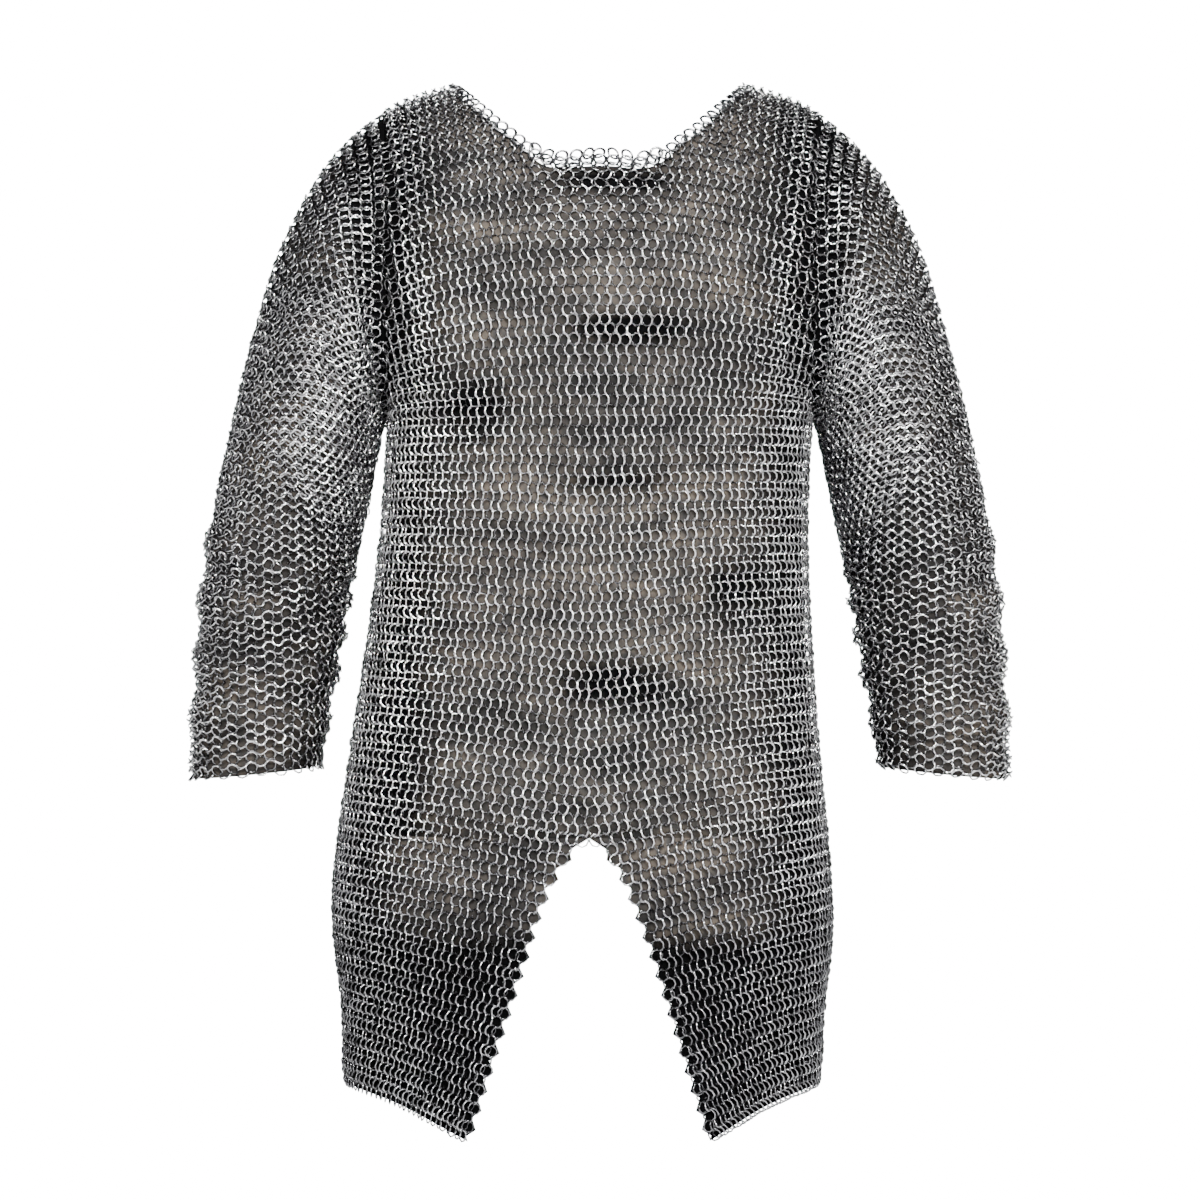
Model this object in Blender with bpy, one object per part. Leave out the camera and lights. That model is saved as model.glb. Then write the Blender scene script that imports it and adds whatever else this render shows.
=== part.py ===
"""A mail hauberk with long sleeves, a wide neck and a riding vent front and back.

It keeps the hollow form of a worn shirt: a body and two sleeves, each a wall of linked rings, open at the neck,
the cuffs and the hem. Metres, +Z up, the front towards -Y. The origin lies between the two neck points, on the
line of the shoulders, where the shirt hangs.
"""

import math
from collections import namedtuple

import bpy
from mathutils import Vector

# Thickness of the mail, which is two rings deep where they link, and how far a piece stands back at a joining row.
MAIL_THICKNESS = 0.005
SEAM_SETBACK = 0.00018

# The body below the armpits: how square its level sections are, from 2 for an ellipse upwards.
SQUARENESS = 2.4
ARMPIT_HEIGHT = -0.300
VENT_TOP = -0.668
HEM_AT_SIDE = -0.892

# The hem hangs lower towards each vent, by this much at the vent's corner, in a curve of this power.
FRONT_HEM_DROP = 0.038
BACK_HEM_DROP = 0.022
HEM_DROP_POWER = 2.9

# Half the width of a vent is a quick rounded opening at its top and then a steady spread. Both vents lie a little
# to the wearer's left of the skirt's own middle.
VENT_ROUNDING = 0.024
VENT_ROUNDING_DEPTH = 0.020
VENT_TO_LEFT = 0.006
FRONT_VENT_SPREAD = 0.31
BACK_VENT_SPREAD = 0.40

# Hanging folds of the skirt: their depth at the hem and their number on each flap.
SKIRT_FOLD_DEPTH = 0.0035
SKIRT_FOLDS = 3.0

# Folds across the lower sleeve, where the mail sinks on itself above the cuff.
SLEEVE_FOLD_DEPTH = 0.0024
SLEEVE_FOLD_PITCH = 0.052
SLEEVE_FOLDS_START = 0.56
SLEEVE_FOLD_SLANT = 0.8

# Number of faces across and along each piece, and the share of the body's columns that stand within the neck.
BODY_COLUMNS = 22
NECK_COLUMN_SHARE = 8 / 11
YOKE_ROWS = 10
WAIST_ROWS = 8
SKIRT_ROWS = 7
SLEEVE_ROWS = 19

FRONT = -1
BACK = 1
RIGHT = -1
LEFT = 1

# Level sections of the body below the armpits, down to just under the hem.
# centre: how far the section lies to the wearer's right; front and back: depth from the shoulder line.
Section = namedtuple("Section", "height centre half_width front back")
BODY_SECTIONS = (
    Section(-0.300, 0.0000, 0.1875, 0.146, 0.118),
    Section(-0.374, -0.0040, 0.1873, 0.147, 0.111),
    Section(-0.464, -0.0080, 0.1930, 0.145, 0.108),
    Section(-0.554, -0.0120, 0.2025, 0.149, 0.124),
    Section(-0.626, -0.0144, 0.2110, 0.155, 0.140),
    Section(-0.698, -0.0158, 0.2188, 0.162, 0.149),
    Section(-0.734, -0.0160, 0.2210, 0.165, 0.152),
    Section(-0.770, -0.0152, 0.2197, 0.166, 0.153),
    Section(-0.824, -0.0152, 0.2130, 0.165, 0.152),
    Section(-0.878, -0.0156, 0.2107, 0.163, 0.151),
    Section(-0.940, -0.0156, 0.2100, 0.162, 0.150),
)

# Arches of mail from the middle of the body to the cuff. Each hangs from the ridge, which is the top of the shoulder
# and then the outside of the arm, and ends at its foot, which is the armpit's level and then the underside of the arm.
# along: distance from the middle on the ridge; front and back: greatest depth; crown: share of the arch above it;
# swell: how flat the arch leaves the ridge, 1 for round; sway: how far the arch lies forward (-) or back.
Arch = namedtuple("Arch", "along ridge_x ridge_z foot_x foot_z front back crown swell sway")
ARCHES = (
    Arch(0.000, 0.0000, 0.0070, 0.0000, -0.3000, 0.148, 0.124, 0.74, 1.25, 0.000),
    Arch(0.070, 0.0700, 0.0060, 0.0680, -0.3000, 0.146, 0.124, 0.73, 1.25, 0.000),
    Arch(0.131, 0.1310, -0.0025, 0.1273, -0.3000, 0.136, 0.118, 0.68, 1.22, 0.000),
    Arch(0.165, 0.1650, -0.0120, 0.1603, -0.3000, 0.119, 0.108, 0.60, 1.15, 0.000),
    Arch(0.193, 0.1930, -0.0255, 0.1875, -0.3000, 0.091, 0.090, 0.50, 1.08, 0.000),
    Arch(0.257, 0.2410, -0.0690, 0.1965, -0.3065, 0.097, 0.093, 0.48, 1.02, 0.000),
    Arch(0.340, 0.2832, -0.1413, 0.2010, -0.3280, 0.087, 0.085, 0.48, 1.00, -0.001),
    Arch(0.433, 0.3115, -0.2303, 0.2095, -0.3735, 0.079, 0.078, 0.49, 1.00, -0.003),
    Arch(0.525, 0.3325, -0.3200, 0.2175, -0.4120, 0.073, 0.073, 0.50, 1.00, -0.006),
    Arch(0.599, 0.3470, -0.3920, 0.2240, -0.4470, 0.070, 0.070, 0.50, 1.00, -0.010),
    Arch(0.671, 0.3570, -0.4635, 0.2300, -0.4870, 0.067, 0.067, 0.50, 1.00, -0.015),
    Arch(0.743, 0.3605, -0.5355, 0.2370, -0.5365, 0.063, 0.063, 0.50, 1.00, -0.020),
    Arch(0.792, 0.3635, -0.5850, 0.2445, -0.5790, 0.060, 0.060, 0.50, 1.00, -0.024),
    Arch(0.831, 0.3640, -0.6237, 0.2490, -0.6130, 0.058, 0.058, 0.50, 1.00, -0.027),
)
ARMHOLE_ALONG = 0.193
NECK_POINT_ALONG = 0.131
CUFF_ALONG = 0.831

# The two necklines: height of the edge at a distance from the middle.
NeckEdge = namedtuple("NeckEdge", "along front back")
NECK_EDGES = (
    NeckEdge(0.000, -0.0750, -0.0610),
    NeckEdge(0.050, -0.0745, -0.0605),
    NeckEdge(0.070, -0.0590, -0.0490),
    NeckEdge(0.094, -0.0390, -0.0320),
    NeckEdge(0.115, -0.0185, -0.0165),
    NeckEdge(0.131, -0.0025, -0.0025),
)

# The finish of the mail, and the turn above which an edge is shaded sharp.
STEEL_COLOUR = (0.30, 0.30, 0.31, 1.0)
STEEL_ROUGHNESS = 0.35
STEEL_METALLIC = 1.0
SHARP_DEGREES = 40


def smooth_column(table, column, at):
    """Read one column of a table at any value of its first column, on a smooth curve through its rows."""
    keys = [row[0] for row in table]
    values = [getattr(row, column) for row in table]
    rising = keys[-1] > keys[0]
    last = len(keys) - 1
    slopes = []
    for i in range(last):
        slopes.append((values[i + 1] - values[i]) / (keys[i + 1] - keys[i]))
    tangents = [slopes[0]]
    for i in range(1, last):
        tangents.append((slopes[i - 1] + slopes[i]) / 2)
    tangents.append(slopes[-1])
    i = 0
    while i < last - 1 and (at > keys[i + 1] if rising else at < keys[i + 1]):
        i += 1
    step = keys[i + 1] - keys[i]
    u = min(max((at - keys[i]) / step, 0.0), 1.0)
    rise = u * u * (3 - 2 * u)
    start = u * (1 - u) * (1 - u) * step
    end = u * u * (u - 1) * step
    return values[i] * (1 - rise) + values[i + 1] * rise + tangents[i] * start + tangents[i + 1] * end


def rounded(value):
    """Turn a sine or cosine into the matching one of a squared-off ellipse."""
    return math.copysign(abs(value) ** (2 / SQUARENESS), value)


def section_point(angle, height, side, fold=0.0):
    """Place a point on the body at a height, angle 0 in the middle and 90 degrees at the wearer's left side."""
    width = smooth_column(BODY_SECTIONS, "half_width", height) + fold
    depth = smooth_column(BODY_SECTIONS, "front" if side == FRONT else "back", height) + fold
    centre = smooth_column(BODY_SECTIONS, "centre", height)
    x = centre + width * rounded(math.sin(angle))
    y = side * depth * rounded(math.cos(angle))
    return Vector((x, y, height))


def foot_depth_at(along, side):
    """Give the depth at which an arch of the body meets the level section at the armpits."""
    depth = smooth_column(BODY_SECTIONS, "front" if side == FRONT else "back", ARMPIT_HEIGHT)
    return depth * max(1 - (along / ARMHOLE_ALONG) ** SQUARENESS, 0.0) ** (1 / SQUARENESS)


def arch_point(along, share, side, hand, foot_depth=0.0):
    """Place a point on an arch, share 0 on the ridge and 1 at its foot."""
    ridge = Vector((smooth_column(ARCHES, "ridge_x", along), 0, smooth_column(ARCHES, "ridge_z", along)))
    foot = Vector((smooth_column(ARCHES, "foot_x", along), 0, smooth_column(ARCHES, "foot_z", along)))
    depth = smooth_column(ARCHES, "front" if side == FRONT else "back", along)
    crown = smooth_column(ARCHES, "crown", along)
    swell = smooth_column(ARCHES, "swell", along)
    sway = smooth_column(ARCHES, "sway", along)
    if share <= crown:
        angle = share / crown * math.pi / 2
        fall = crown * (1 - math.cos(angle))
        out = depth * math.sin(angle) ** swell
    else:
        angle = (share - crown) / (1 - crown) * math.pi / 2
        closing = 1 - foot_depth / depth
        fall = crown + (1 - crown) * ((1 - closing) * angle / (math.pi / 2) + closing * math.sin(angle))
        out = foot_depth + (depth - foot_depth) * math.cos(angle)
    point = ridge + (foot - ridge) * fall
    point.x *= hand
    point.y = side * out + sway
    return point


def neck_share(along, side):
    """Give the share of an arch that the neck opening takes away, 0 outside the neck points."""
    if along >= NECK_POINT_ALONG:
        return 0.0
    edge = smooth_column(NECK_EDGES, "front" if side == FRONT else "back", along)
    ridge = smooth_column(ARCHES, "ridge_z", along)
    foot = smooth_column(ARCHES, "foot_z", along)
    crown = smooth_column(ARCHES, "crown", along)
    fall = (ridge - edge) / (ridge - foot)
    return math.acos(1 - fall / crown) / (math.pi / 2) * crown


def yoke_point(angle, level, side):
    """Place a point above the armpits, level 0 on the neckline or the ridge and 1 at the armpits.

    The columns of points stand evenly along the ridge on each side of the neck point, which has a column of its own,
    and at the armpits they meet those of the level sections.
    """
    hand = LEFT if angle >= 0 else RIGHT
    column_share = abs(angle) / (math.pi / 2)
    if column_share <= NECK_COLUMN_SHARE:
        at_ridge = NECK_POINT_ALONG * column_share / NECK_COLUMN_SHARE
    else:
        beyond = (column_share - NECK_COLUMN_SHARE) / (1 - NECK_COLUMN_SHARE)
        at_ridge = NECK_POINT_ALONG + (ARMHOLE_ALONG - NECK_POINT_ALONG) * beyond
    at_armpit = ARMHOLE_ALONG * abs(rounded(math.sin(angle)))
    along = at_ridge * (1 - level) + at_armpit * level
    top = neck_share(along, side)
    return arch_point(along, top + (1 - top) * level, side, hand, foot_depth_at(along, side))


def vent_half_width(below_top, side):
    """Give half the width of a vent at a depth below its top."""
    spread = FRONT_VENT_SPREAD if side == FRONT else BACK_VENT_SPREAD
    return VENT_ROUNDING * (1 - math.exp(-below_top / VENT_ROUNDING_DEPTH)) + spread * below_top


def vent_angle(offset, height, hand):
    """Turn a distance from the skirt's middle into an angle on one side's half of the level section."""
    share = offset / smooth_column(BODY_SECTIONS, "half_width", height)
    return hand * math.asin(math.copysign(min(abs(share), 1.0) ** (SQUARENESS / 2), share))


def skirt_point(column, row, side, hand):
    """Place a point on a skirt flap, column 0 at the body's side and 1 at the vent, row 0 at the top."""
    drop = (FRONT_HEM_DROP if side == FRONT else BACK_HEM_DROP) * row
    below = (VENT_TOP - HEM_AT_SIDE) * row
    edge = VENT_TO_LEFT + hand * vent_half_width(below + drop, side)
    edge_angle = vent_angle(edge, VENT_TOP - below - drop, hand)
    angle = math.pi / 2 + (edge_angle - math.pi / 2) * column
    height = VENT_TOP - below - drop * column ** HEM_DROP_POWER
    fold = SKIRT_FOLD_DEPTH * row * math.sin(SKIRT_FOLDS * 2 * (math.pi / 2 - angle)) * math.sin(math.pi * column)
    return section_point(hand * angle, height, side, fold)


def sleeve_point(around, along, hand):
    """Place a point on a sleeve, around 0 on the ridge, 0.5 at the foot in front and back to 1 behind."""
    side = FRONT if around <= 0.5 else BACK
    share = around * 2 if around <= 0.5 else (1 - around) * 2
    point = arch_point(along, share, side, hand)
    if along > SLEEVE_FOLDS_START:
        middle = (arch_point(along, 0.0, side, hand) + arch_point(along, 1.0, side, hand)) / 2
        onset = min((along - SLEEVE_FOLDS_START) / SLEEVE_FOLD_PITCH, 1.0)
        onset *= min((CUFF_ALONG - along) / SLEEVE_FOLD_PITCH, 1.0)
        slant = SLEEVE_FOLD_SLANT * math.cos(2 * math.pi * around)
        wave = math.sin(2 * math.pi * (along - SLEEVE_FOLDS_START) / SLEEVE_FOLD_PITCH + slant)
        point += (point - middle).normalized() * SLEEVE_FOLD_DEPTH * onset * wave
    return point


def body_angles(middle):
    """Space the columns of the body evenly on each side of the angle where its middle column stands."""
    shares = [2 * i / BODY_COLUMNS - 1 for i in range(BODY_COLUMNS + 1)]
    return [share * math.pi / 2 + middle * (1 - abs(share)) for share in shares]


def body_grid(side):
    """Lay out the points of the front or the back, row by row from the neck down to the top of the vent."""
    rows = []
    for i in range(YOKE_ROWS):
        rows.append([yoke_point(angle, i / YOKE_ROWS, side) for angle in body_angles(0.0)])
    vent_middle = vent_angle(VENT_TO_LEFT, VENT_TOP, LEFT)
    for i in range(WAIST_ROWS + 1):
        share = i / WAIST_ROWS
        height = ARMPIT_HEIGHT + (VENT_TOP - ARMPIT_HEIGHT) * share
        rows.append([section_point(angle, height, side) for angle in body_angles(vent_middle * share)])
    return rows


def sleeve_grid(hand):
    """Lay out the points of a sleeve, loop by loop from the armhole to the cuff."""
    loops = []
    for i in range(SLEEVE_ROWS + 1):
        along = ARMHOLE_ALONG + (CUFF_ALONG - ARMHOLE_ALONG) * i / SLEEVE_ROWS
        loops.append([sleeve_point(j / (2 * YOKE_ROWS), along, hand) for j in range(2 * YOKE_ROWS)])
    return loops


def skirt_grid(side, hand):
    """Lay out the points of a skirt flap, row by row from the top of the vent to the hem."""
    columns = BODY_COLUMNS // 2
    rows = []
    for i in range(SKIRT_ROWS + 1):
        rows.append([skirt_point(1 - j / columns, i / SKIRT_ROWS, side, hand) for j in range(columns + 1)])
    return rows


Panel = namedtuple("Panel", "name rows outward closed")


def all_panels():
    """List each piece: its points, which way its faces turn, and whether it is a tube."""
    panels = [
        Panel("body_front", body_grid(FRONT), 1, False),
        Panel("body_back", body_grid(BACK), -1, False),
        Panel("sleeve_right", sleeve_grid(RIGHT), 1, True),
        Panel("sleeve_left", sleeve_grid(LEFT), -1, True),
    ]
    for side, side_name in ((FRONT, "front"), (BACK, "back")):
        for hand, hand_name in ((RIGHT, "right"), (LEFT, "left")):
            panels.append(Panel(f"skirt_{side_name}_{hand_name}", skirt_grid(side, hand), -side * hand, False))
    return panels


def place_of(point):
    """Name a place to a tenth of a millimetre, so that neighbouring pieces share it."""
    return tuple(round(value * 1e4) for value in point)


def face_corners(panel):
    """Go through a piece's faces as the row and column of their four corners, turned outwards."""
    last_row = len(panel.rows) - 1
    count = len(panel.rows[0])
    steps = count if panel.closed else count - 1
    for i in range(last_row):
        for j in range(steps):
            k = (j + 1) % count
            corners = [(i, j), (i + 1, j), (i + 1, k), (i, k)]
            yield corners if panel.outward > 0 else corners[::-1]


def survey(panels):
    """Measure each place of the shirt: its outward direction, and the middle of each piece's faces round it.

    Each face counts the same whatever its size, which keeps the armpits' corners midway between their walls.
    """
    normals = {}
    middles = {}
    for panel in panels:
        for corners in face_corners(panel):
            a, b, c, d = [panel.rows[i][j] for i, j in corners]
            across = (c - a).cross(d - b).normalized()
            middle = (a + b + c + d) / 4
            for point in (a, b, c, d):
                place = place_of(point)
                normals[place] = normals.get(place, Vector()) + across
                middles.setdefault(place, {}).setdefault(panel.name, []).append(middle)
    return {place: value.normalized() for place, value in normals.items()}, middles


def seam_shift(place, name, normals, middles):
    """Give the small step that draws a piece back from the pieces that it is joined to at a place."""
    own = middles[place][name]
    others = [middle for other, group in middles[place].items() if other != name for middle in group]
    if not others:
        return Vector()
    away = sum(own, Vector()) / len(own) - sum(others, Vector()) / len(others)
    away -= normals[place] * away.dot(normals[place])
    return away.normalized() * SEAM_SETBACK


def make_wall(panel, normals, middles, collection, material):
    """Build a piece as a closed wall of the mail's thickness about its points."""
    half = MAIL_THICKNESS / 2
    points = [point for row in panel.rows for point in row]
    places = [place_of(point) for point in points]
    size = len(points)
    count = len(panel.rows[0])
    shifted = [point + seam_shift(place, panel.name, normals, middles) for point, place in zip(points, places)]
    outer = [point + normals[place] * half for point, place in zip(shifted, places)]
    inner = [point - normals[place] * half for point, place in zip(shifted, places)]
    faces = []
    edges = set()
    for corners in face_corners(panel):
        ids = [i * count + j for i, j in corners]
        faces.append(ids)
        faces.append([size + n for n in reversed(ids)])
        edges.update(zip(ids, ids[1:] + ids[:1]))
    for a, b in sorted(edges):
        if (b, a) in edges:
            continue
        if places[a] < places[b]:
            faces.append([b, a, size + b])
            faces.append([a, size + a, size + b])
        else:
            faces.append([b, a, size + a])
            faces.append([b, size + a, size + b])
    mesh = bpy.data.meshes.new(panel.name)
    mesh.from_pydata(outer + inner, [], faces)
    mesh.materials.append(material)
    mesh.shade_smooth()
    mesh.set_sharp_from_angle(angle=math.radians(SHARP_DEGREES))
    piece = bpy.data.objects.new(panel.name, mesh)
    collection.objects.link(piece)
    return piece


def make_material(name):
    """Make the steel of one piece."""
    material = bpy.data.materials.new(f"steel_mail_{name}")
    material.use_nodes = True
    shader = material.node_tree.nodes["Principled BSDF"]
    shader.inputs["Base Color"].default_value = STEEL_COLOUR
    shader.inputs["Roughness"].default_value = STEEL_ROUGHNESS
    shader.inputs["Metallic"].default_value = STEEL_METALLIC
    return material


def main():
    """Build the hauberk in a collection of its own."""
    for item in list(bpy.data.objects):
        bpy.data.objects.remove(item, do_unlink=True)
    collection = bpy.data.collections.new("mail_hauberk")
    bpy.context.scene.collection.children.link(collection)
    panels = all_panels()
    normals, middles = survey(panels)
    for panel in panels:
        make_wall(panel, normals, middles, collection, make_material(panel.name))


main()
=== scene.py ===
"""Looks of a mail hauberk: steel rings laid row by row on the worn form of the shirt.

The shirt keeps the form of its solids. Each solid is stood for by a thin dark web of painted shade, which stands for
the shadowed depth of the mail. The rings lie over it in rows that turn from the body into the sleeves, and stop
beside the armholes' creases.
Metres, +Z up, the front towards -Y.
"""

from __future__ import annotations

import logging
import math
from dataclasses import dataclass, fields
from enum import Enum

import bpy
import numpy as np
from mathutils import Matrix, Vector

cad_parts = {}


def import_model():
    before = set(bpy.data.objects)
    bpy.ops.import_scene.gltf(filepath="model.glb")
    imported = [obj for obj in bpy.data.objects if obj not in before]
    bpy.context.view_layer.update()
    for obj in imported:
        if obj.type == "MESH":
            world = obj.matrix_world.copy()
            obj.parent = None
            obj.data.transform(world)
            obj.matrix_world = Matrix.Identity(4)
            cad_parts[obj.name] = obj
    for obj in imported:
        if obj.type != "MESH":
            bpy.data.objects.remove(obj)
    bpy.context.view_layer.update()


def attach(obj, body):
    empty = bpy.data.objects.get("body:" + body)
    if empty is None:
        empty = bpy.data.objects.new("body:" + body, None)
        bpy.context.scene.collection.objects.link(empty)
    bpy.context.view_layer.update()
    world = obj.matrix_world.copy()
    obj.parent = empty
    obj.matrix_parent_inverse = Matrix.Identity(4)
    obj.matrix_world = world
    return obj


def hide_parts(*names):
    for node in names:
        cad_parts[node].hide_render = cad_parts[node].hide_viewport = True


Array = np.ndarray
Socket = bpy.types.NodeSocket
Pair = tuple[float, float]
Triple = tuple[float, float, float]

LOG = logging.getLogger("mail_hauberk")
BODY = "root"
HALF_TURN = math.pi
QUARTER = math.pi / 2
TINY_LENGTH = 1e-12
ROUNDING = 1e-9


class Side(Enum):
    """Which half of the shirt, as the sign of its depth."""

    FRONT = -1
    BACK = 1


class Hand(Enum):
    """Which side of the wearer, as the sign of its width."""

    RIGHT = -1
    LEFT = 1


@dataclass(frozen=True)
class SizeTable:
    """Sizes at several places, read on a smooth curve through its rows."""

    columns: tuple[str, ...]
    rows: tuple[tuple[float, ...], ...]

    def read(self, column: str, at: Array) -> Array:
        """Read one column at any values of the first.

        Args:
            column: Name of the column.
            at: Values of the table's first column.

        Returns:
            The column's smooth values there.
        """
        table = np.array(self.rows)
        if table[0, 0] > table[-1, 0]:
            table = table[::-1]
        keys = table[:, 0]
        values = table[:, self.columns.index(column)]
        slopes = np.diff(values) / np.diff(keys)
        tangents = np.concatenate(([slopes[0]], (slopes[:-1] + slopes[1:]) / 2, [slopes[-1]]))
        place = np.clip(at, keys[0], keys[-1])
        i = np.clip(np.searchsorted(keys, place) - 1, 0, len(keys) - 2)
        step = keys[i + 1] - keys[i]
        u = (place - keys[i]) / step
        rise = u * u * (3 - 2 * u)
        start = u * (1 - u) * (1 - u) * step * tangents[i]
        end = u * u * (u - 1) * step * tangents[i + 1]
        return values[i] * (1 - rise) + values[i + 1] * rise + start + end


def unit(vectors: Array) -> Array:
    """Scale vectors to a length of one."""
    return vectors / np.maximum(np.linalg.norm(vectors, axis=-1, keepdims=True), TINY_LENGTH)


def cross(a: Array, b: Array) -> Array:
    """Give the direction at right angles to two sets of vectors."""
    return unit(np.cross(a, b))


def smooth_step(low: float, high: float, value: Array) -> Array:
    """Rise smoothly from 0 at low to 1 at high."""
    u = np.clip((value - low) / (high - low), 0.0, 1.0)
    return u * u * (3 - 2 * u)


def running_length(points: Array) -> Array:
    """Measure the way along rows of points, from each row's first point.

    Args:
        points: Rows of points.

    Returns:
        The distance of each point along its row.
    """
    steps = np.linalg.norm(np.diff(points, axis=-2), axis=-1)
    start = np.zeros(steps.shape[:-1] + (1,))
    return np.concatenate((start, np.cumsum(steps, axis=-1)), axis=-1)


def read_line(points: Array, way: Array, at: Array) -> Array:
    """Read the points of a line, whose distances along it are the way, at other distances."""
    return np.stack([np.interp(at, way, points[:, axis]) for axis in range(3)], axis=-1)


def facing_out(directions: Array, away: Array) -> Array:
    """Turn round the directions that don't point away from the middle of the shirt."""
    return directions * np.sign(np.sum(directions * away, axis=-1))[..., None]


def store(mesh: bpy.types.Mesh, label: str, values: Array) -> None:
    """Store a number for each point of a mesh, or a direction where the values have three for each."""
    kind, key = ("FLOAT_VECTOR", "vector") if values.size == 3 * len(mesh.vertices) else ("FLOAT", "value")
    mesh.attributes.new(label, kind, "POINT").data.foreach_set(key, values.astype(np.float32).ravel())


def show(name: str, data: bpy.types.ID) -> bpy.types.Object:
    """Put a mesh, a light or a camera into the scene.

    Args:
        name: The object's name.
        data: Its mesh, light or camera.

    Returns:
        The object.
    """
    made = bpy.data.objects.new(name, data)
    bpy.context.scene.collection.objects.link(made)
    return made


def apply_modifier(made: bpy.types.Object, modifier: bpy.types.Modifier) -> None:
    """Apply a modifier to a piece, as the only one selected.

    Args:
        made: The piece.
        modifier: One of its modifiers.
    """
    bpy.ops.object.select_all(action="DESELECT")
    made.select_set(True)
    bpy.context.view_layer.objects.active = made
    bpy.ops.object.modifier_apply(modifier=modifier.name)


SECTIONS = SizeTable(
    ("height", "centre", "half_width", "front", "back"),
    (
        (-0.300, 0.0000, 0.1875, 0.146, 0.118),
        (-0.374, -0.0040, 0.1873, 0.147, 0.111),
        (-0.464, -0.0080, 0.1930, 0.145, 0.108),
        (-0.554, -0.0120, 0.2025, 0.149, 0.124),
        (-0.626, -0.0144, 0.2110, 0.155, 0.140),
        (-0.698, -0.0158, 0.2188, 0.162, 0.149),
        (-0.734, -0.0160, 0.2210, 0.165, 0.152),
        (-0.770, -0.0152, 0.2197, 0.166, 0.153),
        (-0.824, -0.0152, 0.2130, 0.165, 0.152),
        (-0.878, -0.0156, 0.2107, 0.163, 0.151),
        (-0.940, -0.0156, 0.2100, 0.162, 0.150),
    ),
)

ARCHES = SizeTable(
    ("along", "ridge_x", "ridge_z", "foot_x", "foot_z", "front", "back", "crown", "swell", "sway"),
    (
        (0.000, 0.0000, 0.0070, 0.0000, -0.3000, 0.148, 0.124, 0.74, 1.25, 0.000),
        (0.070, 0.0700, 0.0060, 0.0680, -0.3000, 0.146, 0.124, 0.73, 1.25, 0.000),
        (0.131, 0.1310, -0.0025, 0.1273, -0.3000, 0.136, 0.118, 0.68, 1.22, 0.000),
        (0.165, 0.1650, -0.0120, 0.1603, -0.3000, 0.119, 0.108, 0.60, 1.15, 0.000),
        (0.193, 0.1930, -0.0255, 0.1875, -0.3000, 0.091, 0.090, 0.50, 1.08, 0.000),
        (0.257, 0.2410, -0.0690, 0.1965, -0.3065, 0.097, 0.093, 0.48, 1.02, 0.000),
        (0.340, 0.2832, -0.1413, 0.2010, -0.3280, 0.087, 0.085, 0.48, 1.00, -0.001),
        (0.433, 0.3115, -0.2303, 0.2095, -0.3735, 0.079, 0.078, 0.49, 1.00, -0.003),
        (0.525, 0.3325, -0.3200, 0.2175, -0.4120, 0.073, 0.073, 0.50, 1.00, -0.006),
        (0.599, 0.3470, -0.3920, 0.2240, -0.4470, 0.070, 0.070, 0.50, 1.00, -0.010),
        (0.671, 0.3570, -0.4635, 0.2300, -0.4870, 0.067, 0.067, 0.50, 1.00, -0.015),
        (0.743, 0.3605, -0.5355, 0.2370, -0.5365, 0.063, 0.063, 0.50, 1.00, -0.020),
        (0.792, 0.3635, -0.5850, 0.2445, -0.5790, 0.060, 0.060, 0.50, 1.00, -0.024),
        (0.831, 0.3640, -0.6237, 0.2490, -0.6130, 0.058, 0.058, 0.50, 1.00, -0.027),
    ),
)

NECK_EDGES = SizeTable(
    ("along", "front", "back"),
    (
        (0.000, -0.0750, -0.0610),
        (0.050, -0.0745, -0.0605),
        (0.070, -0.0590, -0.0490),
        (0.094, -0.0390, -0.0320),
        (0.115, -0.0185, -0.0165),
        (0.131, -0.0025, -0.0025),
    ),
)


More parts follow.
